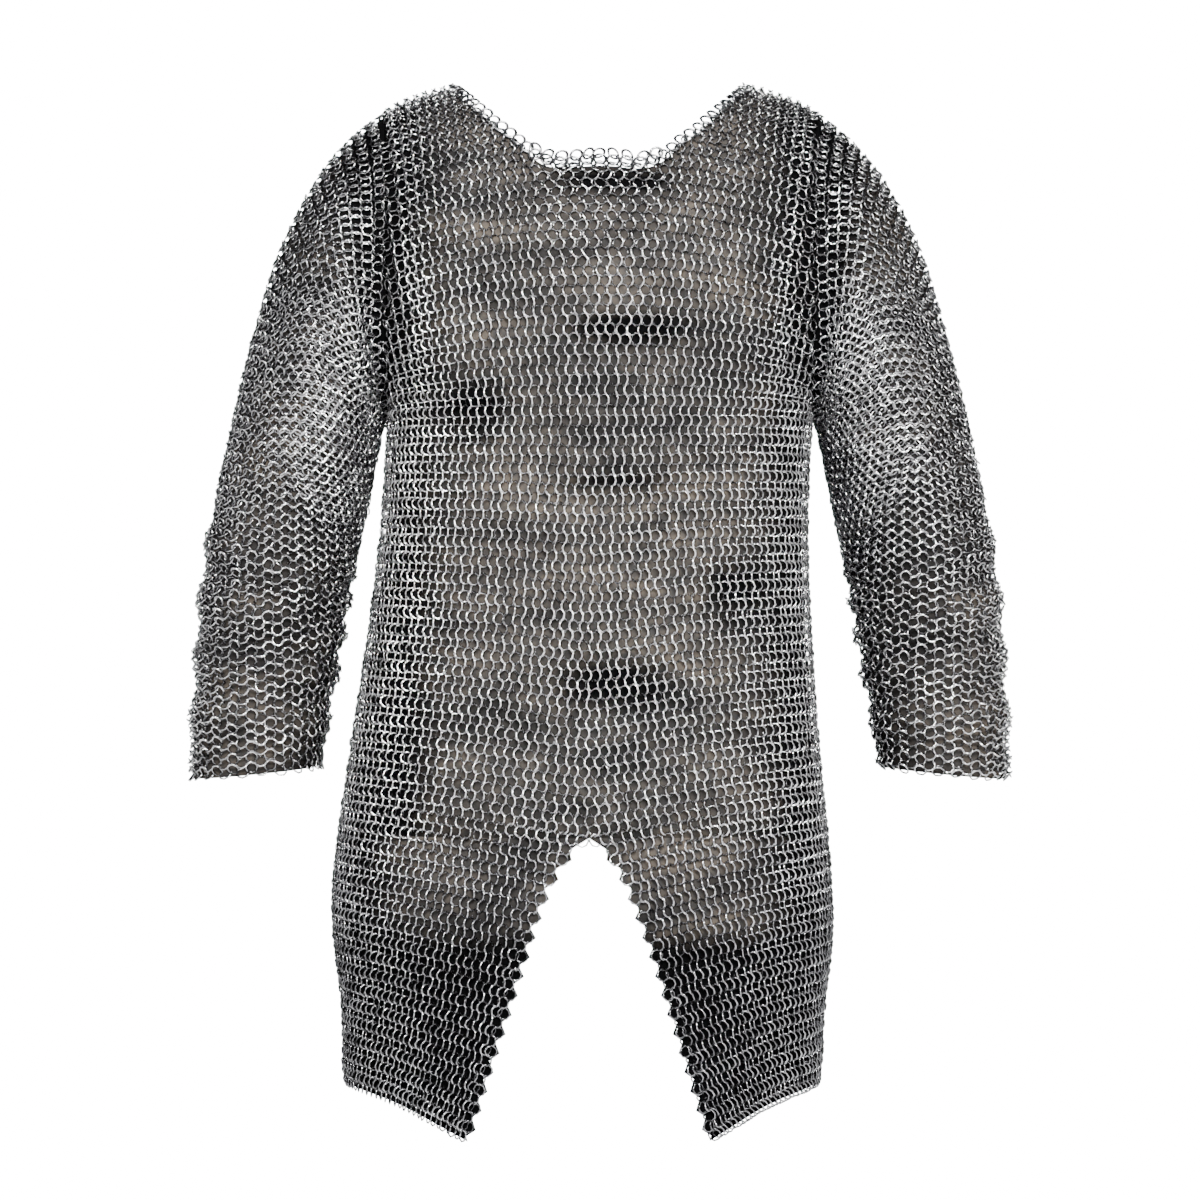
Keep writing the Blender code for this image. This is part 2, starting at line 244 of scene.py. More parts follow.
@dataclass(frozen=True)
class WornForm:
    """The middle surface of the mail as it hangs on a wearer, the same as that of the solids."""

    squareness: float = 2.4
    armpit_height: float = -0.300
    vent_top: float = -0.668
    hem_at_side: float = -0.892
    hem_drop_front: float = 0.038
    hem_drop_back: float = 0.022
    hem_drop_power: float = 2.9
    vent_rounding: float = 0.024
    vent_rounding_depth: float = 0.020
    vent_to_left: float = 0.006
    vent_spread_front: float = 0.31
    vent_spread_back: float = 0.40
    skirt_fold_depth: float = 0.0035
    skirt_folds: float = 3.0
    sleeve_fold_depth: float = 0.0024
    sleeve_fold_pitch: float = 0.052
    sleeve_folds_start: float = 0.56
    sleeve_fold_slant: float = 0.8
    armhole_along: float = 0.193
    neck_point_along: float = 0.131
    cuff_along: float = 0.831

    def depth_name(self, side: Side) -> str:
        """Name the column that holds a side's depth."""
        return "front" if side is Side.FRONT else "back"

    def rounded(self, value: Array) -> Array:
        """Turn sines or cosines into those of a squared-off ellipse."""
        return np.copysign(np.abs(value) ** (2 / self.squareness), value)

    def section(self, angle: Array, height: Array, side: Side, fold: Array | float = 0.0) -> Array:
        """Place points on the body below the armpits.

        Args:
            angle: 0 in the middle and a quarter turn at the wearer's left side.
            height: Heights of the points.
            side: Front or back.
            fold: How far the points stand out in a fold.

        Returns:
            The points.
        """
        angle, height = np.broadcast_arrays(angle, height)
        width = SECTIONS.read("half_width", height) + fold
        depth = SECTIONS.read(self.depth_name(side), height) + fold
        x = SECTIONS.read("centre", height) + width * self.rounded(np.sin(angle))
        y = side.value * depth * self.rounded(np.cos(angle))
        return np.stack((x, y, height), axis=-1)

    def foot_depth(self, along: Array, side: Side) -> Array:
        """Give the depth at which arches of the body meet the level section at the armpits.

        Args:
            along: Distance from the middle, on the ridge.
            side: Front or back.

        Returns:
            The depths.
        """
        depth = SECTIONS.read(self.depth_name(side), np.array(self.armpit_height))
        share = np.maximum(1 - (np.abs(along) / self.armhole_along) ** self.squareness, 0.0)
        return depth * share ** (1 / self.squareness)

    def arch(self, along: Array, share: Array, side: Side, hand: Array) -> Array:
        """Place points on the arches of the yoke and the sleeves.

        Args:
            along: Distance of the arch from the middle, on the ridge.
            share: 0 on the ridge and 1 at the arch's foot.
            side: Front or back.
            hand: Sign of the wearer's side, 1 for left.

        Returns:
            The points.
        """
        along, share, hand = np.broadcast_arrays(along, share, hand)
        read = {name: ARCHES.read(name, along) for name in ARCHES.columns[1:]}
        depth = read[self.depth_name(side)]
        crown = read["crown"]
        foot_depth = self.foot_depth(along, side)
        above = np.clip(share / crown, 0, 1) * QUARTER
        below = np.clip((share - crown) / (1 - crown), 0, 1) * QUARTER
        closing = 1 - foot_depth / depth
        fall_above = crown * (1 - np.cos(above))
        fall_below = crown + (1 - crown) * ((1 - closing) * below / QUARTER + closing * np.sin(below))
        out_above = depth * np.sin(above) ** read["swell"]
        out_below = foot_depth + (depth - foot_depth) * np.cos(below)
        on_crown = share <= crown
        fall = np.where(on_crown, fall_above, fall_below)
        out = np.where(on_crown, out_above, out_below)
        x = read["ridge_x"] + (read["foot_x"] - read["ridge_x"]) * fall
        z = read["ridge_z"] + (read["foot_z"] - read["ridge_z"]) * fall
        return np.stack((x * hand, side.value * out + read["sway"], z), axis=-1)

    def shell(self, along: Array, share: Array, side: Side, hand: Array) -> Array:
        """Place points on the yoke and the sleeves, with the folds above the cuffs.

        Args:
            along: Distance of the arch from the middle, on the ridge.
            share: 0 on the ridge and 1 at the arch's foot.
            side: Front or back.
            hand: Sign of the wearer's side, 1 for left.

        Returns:
            The points.
        """
        point = self.arch(along, share, side, hand)
        middle = self.arch_middle(along, side, hand)
        past = np.maximum(along - self.sleeve_folds_start, 0)
        onset = np.minimum(past / self.sleeve_fold_pitch, 1)
        onset = onset * np.clip((self.cuff_along - along) / self.sleeve_fold_pitch, 0, 1)
        turn = HALF_TURN * share
        wave = np.sin(2 * HALF_TURN * past / self.sleeve_fold_pitch + self.sleeve_fold_slant * np.cos(turn))
        return point + unit(point - middle) * (self.sleeve_fold_depth * onset * wave)[..., None]

    def arch_middle(self, along: Array, side: Side, hand: Array) -> Array:
        """Give the place midway between an arch's ridge and its foot.

        Args:
            along: Distance from the middle, on the ridge.
            side: Front or back.
            hand: Sign of the wearer's side, 1 for left.

        Returns:
            The points.
        """
        top = self.arch(along, np.zeros_like(along), side, hand)
        foot = self.arch(along, np.ones_like(along), side, hand)
        foot[..., 1] = top[..., 1]
        return (top + foot) / 2

    def neck_share(self, along: Array, side: Side) -> Array:
        """Give the share of each arch that the neck opening takes away.

        Args:
            along: Distance from the middle, on the ridge.
            side: Front or back.

        Returns:
            The shares, 0 outside the neck points.
        """
        edge = NECK_EDGES.read(self.depth_name(side), along)
        ridge = ARCHES.read("ridge_z", along)
        crown = ARCHES.read("crown", along)
        fall = (ridge - edge) / (ridge - ARCHES.read("foot_z", along))
        share = np.arccos(np.clip(1 - fall / crown, -1, 1)) / QUARTER * crown
        return np.where(along >= self.neck_point_along, 0.0, share)

    def vent_half_width(self, below_top: Array, side: Side) -> Array:
        """Give half the width of a vent at a depth below its top."""
        spread = self.vent_spread_front if side is Side.FRONT else self.vent_spread_back
        return self.vent_rounding * (1 - np.exp(-below_top / self.vent_rounding_depth)) + spread * below_top

    def vent_angle(self, offset: Array, height: Array, hand: Hand) -> Array:
        """Turn a distance from the skirt's middle into an angle on one side's half of the section.

        Args:
            offset: Distances from the middle.
            height: Their heights.
            hand: Which side of the wearer.

        Returns:
            The angles.
        """
        share = offset / SECTIONS.read("half_width", height)
        bent = np.copysign(np.minimum(np.abs(share), 1.0) ** (self.squareness / 2), share)
        return hand.value * np.arcsin(bent)

    def skirt(self, column: Array, row: Array, side: Side, hand: Hand) -> Array:
        """Place points on a skirt flap.

        Args:
            column: 0 at the body's side and 1 at the vent.
            row: 0 at the top of the vent and 1 at the hem.
            side: Front or back.
            hand: Which side of the wearer.

        Returns:
            The points.
        """
        column, row = np.broadcast_arrays(column, row)
        drop = (self.hem_drop_front if side is Side.FRONT else self.hem_drop_back) * row
        below = (self.vent_top - self.hem_at_side) * row
        edge = self.vent_to_left + hand.value * self.vent_half_width(below + drop, side)
        edge_angle = self.vent_angle(edge, self.vent_top - below - drop, hand)
        angle = QUARTER + (edge_angle - QUARTER) * column
        height = self.vent_top - below - drop * column**self.hem_drop_power
        fold = self.skirt_fold_depth * row * np.sin(self.skirt_folds * 2 * (QUARTER - angle))
        fold = fold * np.sin(HALF_TURN * column)
        return self.section(hand.value * angle, height, side, fold)


@dataclass(frozen=True)
class RingSize:
    """One closed steel ring, and how finely it is modelled."""

    steps_round: int
    steps_wire: int
    radius: float = 0.0053
    wire: float = 0.00096

    def model(self, name: str) -> bpy.types.Object:
        """Model the ring that is copied, lying flat at the origin.

        Args:
            name: The ring's name.

        Returns:
            The ring.
        """
        bpy.ops.object.select_all(action="DESELECT")
        bpy.ops.mesh.primitive_torus_add(
            major_segments=self.steps_round,
            minor_segments=self.steps_wire,
            major_radius=self.radius,
            minor_radius=self.wire,
            location=(0, 0, 0),
        )
        ring = bpy.context.object
        ring.name = name
        bpy.ops.object.shade_smooth()
        return ring


@dataclass
class RingPlaces:
    """Where a set of rings lie, with one entry for each ring.

    A ring has its centre, the outward direction of the shirt there, the direction of its row, the distance to the next
    ring, its row's number, how flat it is laid whatever that distance, and how much light it gets, which is painted
    into its colour as light and shade.
    """

    centre: Array
    outward: Array
    run: Array
    pitch: Array
    row: Array
    flat: Array
    shade: Array

    def chosen(self, mask: Array) -> RingPlaces:
        """Keep the rings that a mask chooses."""
        return RingPlaces(*[getattr(self, part.name)[mask] for part in fields(self)])

    @staticmethod
    def joined(sets: list[RingPlaces]) -> RingPlaces:
        """Put several sets of rings together."""
        return RingPlaces(*[np.concatenate([getattr(one, part.name) for one in sets]) for part in fields(RingPlaces)])


def read_grid(table: Array, down: Array, across: Array) -> Array:
    """Read a table between its entries.

    Args:
        table: Values on an even grid.
        down: Places from 0 at the first row to 1 at the last.
        across: Places from 0 at the first column to 1 at the last.

    Returns:
        The values there.
    """
    u = np.clip(down, 0, 1) * (table.shape[0] - 1)
    v = np.clip(across, 0, 1) * (table.shape[1] - 1)
    i = np.minimum(u.astype(int), table.shape[0] - 2)
    j = np.minimum(v.astype(int), table.shape[1] - 2)
    a, b = u - i, v - j
    low = table[i, j] * (1 - b) + table[i, j + 1] * b
    high = table[i + 1, j] * (1 - b) + table[i + 1, j + 1] * b
    return low * (1 - a) + high * a


class ArchMap:
    """Distances round the arches of one side, which turn into shares of the arch and back."""

    STEPS_ALONG = 281
    STEPS_ROUND = 161

    def __init__(self, form: WornForm, side: Side) -> None:
        """Measure the arches.

        Args:
            form: The worn form.
            side: Front or back.
        """
        self.alongs = np.linspace(0, form.cuff_along, self.STEPS_ALONG)
        shares = np.linspace(0, 1, self.STEPS_ROUND)
        grid = form.arch(self.alongs[:, None], shares[None, :], side, np.array(1))
        way = running_length(grid)
        self.length = way[:, -1]
        self.parts = way / way[:, -1:]
        self.shares = np.array([np.interp(shares, row, shares) for row in self.parts])

    def length_at(self, along: Array) -> Array:
        """Give the length of the arch at a distance from the middle."""
        return np.interp(along, self.alongs, self.length)

    def share_at(self, along: Array, part: Array) -> Array:
        """Turn a part of the arch's length into the share that the form reads."""
        return read_grid(self.shares, along / self.alongs[-1], part)

    def part_at(self, along: Array, share: Array) -> Array:
        """Turn a share that the form reads into a part of the arch's length."""
        return read_grid(self.parts, along / self.alongs[-1], share)

    def below_neck(self, form: WornForm, along: Array, side: Side, distance: Array | float) -> Array:
        """Give the share that lies a distance below the neckline."""
        part = self.part_at(along, form.neck_share(along, side)) + distance / self.length_at(along)
        return self.share_at(along, part)


@dataclass(frozen=True)
class Weave:
    """How the rings are counted: rows downwards from the ridge, and columns outwards from the middle."""

    armpit_row_front: int = 46
    armpit_row_back: int = 45
    side_column_front: float = 34.0
    side_column_back: float = 33.0
    body_rows: int = 75
    cuff_column: float = 81.0
    first_sleeve_column: float = 19.0
    crease_column: float = 42.0
    crease_step: float = 0.021
    crease_gap: float = 0.0015
    ridge_columns: tuple[float, ...] = (0.0, 5.0, 13.0, 20.6, 38.0, 52.0, 63.0, 81.0)
    ridge_alongs: tuple[float, ...] = (0.0, 0.068, 0.131, 0.193, 0.45, 0.60, 0.70, 0.8274)
    loop_alongs: tuple[float, ...] = (0.193, 0.257, 0.340, 0.433, 0.525, 0.599, 0.671, 0.743, 0.831)
    loop_rows: tuple[float, ...] = (46.0, 46.0, 43.0, 37.0, 30.0, 27.5, 25.5, 23.7, 21.7)
    middle_lift: float = 0.10
    sag_growth: float = 0.8
    vent_crowding: float = 0.20
    vent_ring_in: float = 0.0028
    from_edge: float = 0.0036
    neck_clearance: float = 0.0092
    flat_at_edge: float = 0.35

    def armpit_row(self, side: Side) -> int:
        """Give the number of the row at the armpits."""
        return self.armpit_row_front if side is Side.FRONT else self.armpit_row_back

    def side_column(self, side: Side) -> float:
        """Give the number of the column at the body's side."""
        return self.side_column_front if side is Side.FRONT else self.side_column_back

    def columns(self, row: int, last: float) -> Array:
        """Count the rings of a row, which stand half a step aside in every other row.

        Args:
            row: The row's number.
            last: The last column that a ring may take.

        Returns:
            The signed columns, from the wearer's right to the left.
        """
        shift = 0.5 * (row % 2)
        count = int(math.floor(last - shift + ROUNDING))
        outwards = np.arange(count + 1) + shift
        return np.concatenate((-outwards[::-1], outwards if shift else outwards[1:]))


class UpperNet:
    """The rings of one side's yoke and sleeves, whose rows run from the middle to the cuffs."""

    STEPS = 400
    SETTLING_ROUNDS = 8
    PROBE = 0.3
    # Painted shade beside the armholes' creases, towards the underarm and on all the sleeves.
    CREASE_STARTS = (0.25, 0.45)
    CREASE_WIDTH = (0.002, 0.018)
    CREASE_DEPTH = 0.72
    UNDERARM = (0.72, 1.0)
    UNDERARM_DEPTH = 0.35
    SLEEVE_TONE = 0.86
    CUFF_COLUMNS_LAID_FLAT = 2.0
    LAID_FLAT = (0.50, 0.22)
    LAID_FLAT_AT = (0.42, 0.66)

    def __init__(self, form: WornForm, weave: Weave, side: Side) -> None:
        """Lay out where the columns meet the arches' feet.

        Args:
            form: The worn form.
            weave: How the rings are counted.
            side: Front or back.
        """
        self.form, self.weave, self.side = form, weave, side
        self.map = ArchMap(form, side)
        angles = np.linspace(0, QUARTER, self.STEPS)
        level = running_length(form.section(angles, np.array(form.armpit_height), side))
        self.body_columns = weave.side_column(side) * level / level[-1]
        self.body_alongs = form.armhole_along * form.rounded(np.sin(angles))
        self.sleeve_alongs = np.linspace(form.armhole_along, form.cuff_along - weave.from_edge, self.STEPS)
        foot = running_length(form.arch(self.sleeve_alongs, np.ones(self.STEPS), side, np.array(1)))
        foot = foot + self.sleeve_alongs - form.armhole_along
        self.sleeve_columns = weave.crease_column + (weave.cuff_column - weave.crease_column) * foot / foot[-1]

    def part_of_arch(self, row: Array, along: Array) -> Array:
        """Give how far round its arch a row lies, past 1 where the row has ended at the underarm.

        Args:
            row: Rows, 0 on the ridge.
            along: Distance from the middle, on the ridge.

        Returns:
            The parts.
        """
        weave = self.weave
        count = np.interp(along, weave.loop_alongs, weave.loop_rows)
        count = count * weave.armpit_row(self.side) / weave.armpit_row_front
        share = row / count
        in_middle = 1 - smooth_step(0, self.form.armhole_along, along)
        return share - weave.middle_lift * in_middle * share * (1 - share)

    def at_foot(self, out: Array, on_sleeve: bool) -> Array:
        """Give where the columns meet the arches' feet, as a distance along the ridge.

        Args:
            out: Columns, counted outwards.
            on_sleeve: Whether they end at the underarm or at the armpits' level.

        Returns:
            The distances.
        """
        if on_sleeve:
            before = np.maximum(self.weave.crease_column - out, 0)
            return np.interp(out, self.sleeve_columns, self.sleeve_alongs) - self.weave.crease_step * before
        return np.interp(out, self.body_columns, self.body_alongs)

    def place(self, column: Array, row: Array, on_sleeve: bool) -> tuple[Array, Array, Array]:
        """Find the points of columns and rows.

        Args:
            column: Signed columns, positive on the wearer's left.
            row: Rows, 0 on the ridge.
            on_sleeve: Whether the columns end at the underarm or at the armpits' level.

        Returns:
            The points, their distance along the ridge and their part of the arch.
        """
        hand = np.where(column < 0, -1, 1)
        out = np.abs(column)
        at_ridge = np.interp(out, self.weave.ridge_columns, self.weave.ridge_alongs)
        at_foot = self.at_foot(out, on_sleeve)
        along = at_ridge
        for _ in range(self.SETTLING_ROUNDS):
            part = self.part_of_arch(row, along)
            along = np.maximum(at_ridge + (at_foot - at_ridge) * np.clip(part, 0, 1), 0)
        part = self.part_of_arch(row, along)
        share = self.map.share_at(along, part)
        return self.form.shell(along, share, self.side, hand), along, part

    def rings(self, on_sleeve: bool) -> tuple[RingPlaces, Array]:
        """Place the rings of the yoke or of both sleeves.

        Args:
            on_sleeve: Whether to place those of the sleeves.

        Returns:
            The rings and their signed columns.
        """
        form, weave = self.form, self.weave
        first = 0 if self.side is Side.FRONT else 1
        last = weave.cuff_column if on_sleeve else weave.side_column(self.side)
        columns, rows = [], []
        for number in range(first, weave.armpit_row(self.side) + 1):
            line = weave.columns(number, last)
            if on_sleeve:
                line = line[np.abs(line) > weave.first_sleeve_column]
            columns.append(line)
            rows.append(np.full(len(line), float(number)))
        column, row = np.concatenate(columns), np.concatenate(rows)
        centre, along, part = self.place(column, row, on_sleeve)
        if on_sleeve:
            keep = (part <= 1.0) & (along > form.armhole_along + weave.crease_gap)
        else:
            neck = self.map.part_at(along, form.neck_share(along, self.side))
            clear = part - neck > weave.neck_clearance / self.map.length_at(along)
            keep = (along < form.armhole_along - weave.crease_gap) & (clear | (along >= form.neck_point_along))
        column, row, centre, along, part = column[keep], row[keep], centre[keep], along[keep], part[keep]
        ahead = self.place(column + self.PROBE, row, on_sleeve)[0]
        behind = self.place(column - self.PROBE, row, on_sleeve)[0]
        lower = self.place(column, row + self.PROBE, on_sleeve)[0]
        upper = self.place(column, np.maximum(row - self.PROBE, 0), on_sleeve)[0]
        run = ahead - behind
        middle = form.arch_middle(along, self.side, np.where(column < 0, -1, 1))
        outward = facing_out(cross(run, lower - upper), centre - middle)
        pitch = np.linalg.norm(run, axis=1) / (2 * self.PROBE)
        # Painted shade: the rings darken beside the armholes' creases low on the arch, and on the sleeves towards the
        # underarm and all over.
        from_crease = smooth_step(*self.CREASE_WIDTH, np.abs(along - form.armhole_along))
        shade = 1 - self.CREASE_DEPTH * smooth_step(*self.CREASE_STARTS, part) * (1 - from_crease)
        if on_sleeve:
            shade = shade * (1 - self.UNDERARM_DEPTH * smooth_step(*self.UNDERARM, part)) * self.SLEEVE_TONE
        to_cuff = weave.cuff_column - np.abs(column)
        on_cuff = to_cuff < self.CUFF_COLUMNS_LAID_FLAT
        laid = self.LAID_FLAT[0] + (self.LAID_FLAT[1] - self.LAID_FLAT[0]) * smooth_step(*self.LAID_FLAT_AT, along)
        flat = np.where(on_cuff, weave.flat_at_edge, laid) if on_sleeve else np.zeros(len(laid))
        return RingPlaces(centre, outward, unit(run), pitch, row, flat, shade), column


class LowerNet:
    """The rings of one side's body below the armpits, down to the hem on both sides of the vent."""

    FINE = 241
    PROBE = 0.35
    STEP_ALONG = 0.0015
    FLAT_FADE_FROM_VENT = 0.6
    HEM_ROWS_LAID_FLAT = 2
    # Painted shade towards the body's sides and in the skirt, and a band of painted light down the middle of the body.
    TO_SIDE = (0.55, 0.95)
    SIDE_DEPTH = 0.64
    TO_SKIRT = (-0.700, -0.770)
    SKIRT_DEPTH = 0.50
    BAND_WIDTH = 0.28
    BAND_LIFT = 0.28
    BAND_ROWS = (2.0, 14.0, 34.0, 48.0)

    def __init__(self, form: WornForm, weave: Weave, side: Side) -> None:
        """Keep the form and the counts.

        Args:
            form: The worn form.
            weave: How the rings are counted.
            side: Front or back.
        """
        self.form, self.weave, self.side = form, weave, side

    def heights(self, step: float) -> Pair:
        """Give a row's height at the body's side, and how far it falls from there to the middle.

        Args:
            step: The row, counted from the armpits.

        Returns:
            The height and the fall.
        """
        form = self.form
        share = step / self.weave.body_rows
        tall = form.armpit_height - form.hem_at_side - self.weave.from_edge
        drop = form.hem_drop_front if self.side is Side.FRONT else form.hem_drop_back
        return form.armpit_height - tall * share, drop * share**self.weave.sag_growth

    def line(self, step: float, hand: Hand) -> Array:
        """Give a row's line from the middle, or from the edge of the vent, to the body's side.

        Args:
            step: The row, counted from the armpits.
            hand: Which side of the wearer.

        Returns:
            Points of the line.
        """
        form = self.form
        at_side, drop = self.heights(max(step, 0.0))
        at_edge = at_side - drop
        to_vent = (form.armpit_height - at_edge) / (form.armpit_height - form.vent_top)
        half_width = form.vent_half_width(np.array(max(form.vent_top - at_edge, 0.0)), self.side)
        edge = form.vent_to_left * min(to_vent, 1.0) + hand.value * half_width
        edge_angle = form.vent_angle(edge, np.array(at_edge), hand)
        column = np.linspace(1, 0, self.FINE)
        angle = QUARTER + (edge_angle - QUARTER) * column
        height = at_side - drop * column**form.hem_drop_power
        in_skirt = np.clip((form.vent_top - height) / (form.vent_top - form.hem_at_side), 0, 1)
        fold = form.skirt_fold_depth * in_skirt * np.sin(form.skirt_folds * 2 * (QUARTER - angle))
        return form.section(hand.value * angle, height, self.side, fold * np.sin(HALF_TURN * column))

    def row_of(self, step: int, hand: Hand) -> RingPlaces:
        """Place one row's rings on one side of the wearer.

        Args:
            step: The row, counted from the armpits.
            hand: Which side of the wearer.

        Returns:
            The rings, from the middle outwards.
        """
        weave = self.weave
        row = weave.armpit_row(self.side) + step
        at_side, drop = self.heights(float(step))
        below_vent = self.form.vent_top - (at_side - drop)
        parted = below_vent > 0
        corner = weave.side_column(self.side)
        last = corner if self.side is Side.FRONT else corner - 0.5
        column = weave.columns(row, last)
        column = column[column >= 0] if hand is Hand.LEFT else -column[column <= 0][::-1]
        if hand is Hand.RIGHT and not parted:
            column = column[column > 0]
        above, line, below = [self.line(step + move, hand) for move in (-self.PROBE, 0.0, self.PROBE)]
        way, way_above, way_below = running_length(line), running_length(above), running_length(below)
        out = column / corner
        crowd = weave.vent_crowding * max(below_vent, 0.0) / (self.form.vent_top - self.form.hem_at_side)
        inner = weave.vent_ring_in if parted else 0.0
        at = inner + (way[-1] - inner) * (out * (1 - crowd) + crowd * out**2)
        centre = read_line(line, way, at)
        run = read_line(line, way, at + self.STEP_ALONG) - read_line(line, way, at - self.STEP_ALONG)
        share = at / way[-1]
        upper = read_line(above, way_above, share * way_above[-1])
        lower = read_line(below, way_below, share * way_below[-1])
        middle = centre.copy()
        middle[:, 0] = SECTIONS.read("centre", centre[:, 2])
        middle[:, 1] = 0
        outward = facing_out(cross(run, lower - upper), centre - middle)
        flat = np.where(parted, np.clip(1.0 - column * self.FLAT_FADE_FROM_VENT, 0, 1), 0.0)
        flat = np.maximum(flat, weave.flat_at_edge if step > weave.body_rows - self.HEM_ROWS_LAID_FLAT else 0.0)
        # Painted light and shade: the rings darken towards the sides and in the skirt, and brighten in a band down the
        # middle.
        rise, full, fade, end = self.BAND_ROWS
        level = np.array(float(step))
        band = smooth_step(rise, full, level) * (1 - smooth_step(fade, end, level))
        shade = 1 - self.SIDE_DEPTH * smooth_step(*self.TO_SIDE, out)
        shade = shade + self.BAND_LIFT * band * np.exp(-((out / self.BAND_WIDTH) ** 2))
        shade = shade * (1 - self.SKIRT_DEPTH * smooth_step(*self.TO_SKIRT, centre[:, 2]))
        pitch = np.abs(np.gradient(at))
        return RingPlaces(centre, outward, unit(run) * hand.value, pitch, np.full(len(at), float(row)), flat, shade)

    def rings(self) -> RingPlaces:
        """Place all the rings from the armpits to the hem."""
        steps = range(1, self.weave.body_rows + 1)
        return RingPlaces.joined([self.row_of(step, hand) for step in steps for hand in Hand])


@dataclass(frozen=True)
class NeckEdge:
    """The open rings along the neckline, with a loose second line where the front is level."""

    spacing: float = 0.0117
    inset: float = 0.0034
    inset_level: float = 0.0052
    loose_inset: float = -0.0014
    level_reach: float = 0.056
    level_blend: float = 0.012
    loose_unevenness: float = 0.0012
    loose_turn: float = 0.55
    steps: int = 601
    step_down: float = 0.004

    def line(self, form: WornForm, arches: ArchMap, side: Side, inset: Array) -> tuple[Array, Array]:
        """Give points along the neckline from the wearer's right to the left.

        Args:
            form: The worn form.
            arches: Distances round the arches.
            side: Front or back.
            inset: How far below the edge the points lie, as many as the points.

        Returns:
            The points and the outward directions there.
        """
        reach = form.neck_point_along
        signed = np.linspace(-reach, reach, len(inset))
        along, hand = np.abs(signed), np.where(signed < 0, -1, 1)
        share = arches.below_neck(form, along, side, inset)
        point = form.arch(along, share, side, hand)
        further = form.arch(along, share + self.step_down, side, hand)
        outward = cross(np.gradient(point, axis=0), further - point)
        return point, facing_out(outward, point - form.arch_middle(along, side, hand))

    def rings(self, form: WornForm, side: Side, chance: np.random.Generator) -> RingPlaces:
        """Place the rings of the neckline.

        Args:
            form: The worn form.
            side: Front or back.
            chance: Where the unevenness comes from.

        Returns:
            The rings.
        """
        arches = ArchMap(form, side)
        along = np.abs(np.linspace(-form.neck_point_along, form.neck_point_along, self.steps))
        level = 1 - smooth_step(self.level_reach, self.level_reach + self.level_blend, along)
        if side is Side.BACK:
            level = level * 0
        sets = []
        for loose in (False, True) if side is Side.FRONT else (False,):
            inset = self.inset + (self.inset_level - self.inset) * level
            if loose:
                inset = np.full(self.steps, self.loose_inset)
            point, outward = self.line(form, arches, side, inset)
            way = running_length(point)
            if loose:
                inside = along < self.level_reach
                start, end = way[inside][0], way[inside][-1]
                at = np.arange(start, end, self.spacing)
                at = at + chance.normal(0, self.loose_unevenness, len(at))
            else:
                at = np.linspace(0, way[-1], round(way[-1] / self.spacing) + 1)
                at = at[1:-1] if side is Side.BACK else at
            run = unit(np.gradient(point, axis=0))
            centre, facing, forward = [read_line(values, way, at) for values in (point, outward, run)]
            if loose:
                facing = facing + forward * chance.normal(0, self.loose_turn, (len(at), 1))
            ones = np.ones(len(at))
            sets.append(RingPlaces(centre, unit(facing), unit(forward), self.spacing * ones, 0 * ones, ones, ones))
        return RingPlaces.joined(sets)


class NodeBuilder:
    """Adds nodes to a tree and links them, with their sockets by name or number."""

    def __init__(self, tree: bpy.types.NodeTree) -> None:
        """Start on a tree."""
        self.tree = tree

    def add(self, kind: str, **settings: object) -> bpy.types.Node:
        """Add a node and set its properties.

        Args:
            kind: The node's type.
            settings: Its properties.

        Returns:
            The node.
        """
        node = self.tree.nodes.new(kind)
        for name, value in settings.items():
            setattr(node, name, value)
        return node

    def set(self, node: bpy.types.Node, **values: object) -> bpy.types.Node:
        """Set a node's input sockets, whose names are given with _ for spaces.

        Args:
            node: The node.
            values: Values by socket.

        Returns:
            The same node.
        """
        for name, value in values.items():
            node.inputs[name.replace("_", " ")].default_value = value
        return node

    def link(self, source: Socket, target: Socket) -> None:
        """Link an output to an input."""
        self.tree.links.new(source, target)

    def stored(self, name: str) -> Socket:
        """Read a number that is stored on the mesh."""
        return self.add("ShaderNodeAttribute", attribute_name=name).outputs["Fac"]

    def spread(self, value: Socket, **settings: float) -> Socket:
        """Spread a value from one range to another.

        Args:
            value: The value.
            settings: Ends of the two ranges, 0 and 1 if not given.

        Returns:
            The output.
        """
        node = self.set(self.add("ShaderNodeMapRange"), **settings)
        self.link(value, node.inputs["Value"])
        return node.outputs["Result"]

    def times(self, first: Socket, second: Socket) -> Socket:
        """Multiply two values.

        Args:
            first: A value.
            second: Another.

        Returns:
            The output.
        """
        node = self.add("ShaderNodeMath", operation="MULTIPLY")
        self.link(first, node.inputs[0])
        self.link(second, node.inputs[1])
        return node.outputs[0]

    def mixed(self, first: Triple, second: Triple | Socket, factor: Socket) -> Socket:
        """Mix a colour with a second one, which may be an output.

        Args:
            first: The colour at 0.
            second: The colour at 1.
            factor: How much of the second.

        Returns:
            The output.
        """
        node = self.add("ShaderNodeMix", data_type="RGBA")
        node.inputs["A"].default_value = (*first, 1)
        if isinstance(second, tuple):
            node.inputs["B"].default_value = (*second, 1)
        else:
            self.link(second, node.inputs["B"])
        self.link(factor, node.inputs["Factor"])
        return node.outputs["Result"]

    def bump(self, height: Socket, shader: bpy.types.Node, size: Pair) -> None:
        """Roughen a shader's surface by a height, with a strength and a distance.

        Args:
            height: The height.
            shader: The shader.
            size: Strength and distance.
        """
        node = self.set(self.add("ShaderNodeBump"), Strength=size[0], Distance=size[1])
        self.link(height, node.inputs["Height"])
        self.link(node.outputs["Normal"], shader.inputs["Normal"])


def new_material(name: str) -> tuple[bpy.types.Material, NodeBuilder, bpy.types.Node]:
    """Make a material, and give it with what builds its nodes and with its shader.

    Args:
        name: The material's name.

    Returns:
        The material, its builder and its shader.
    """
    made = bpy.data.materials.new(name)
    made.use_nodes = True
    return made, NodeBuilder(made.node_tree), made.node_tree.nodes["Principled BSDF"]


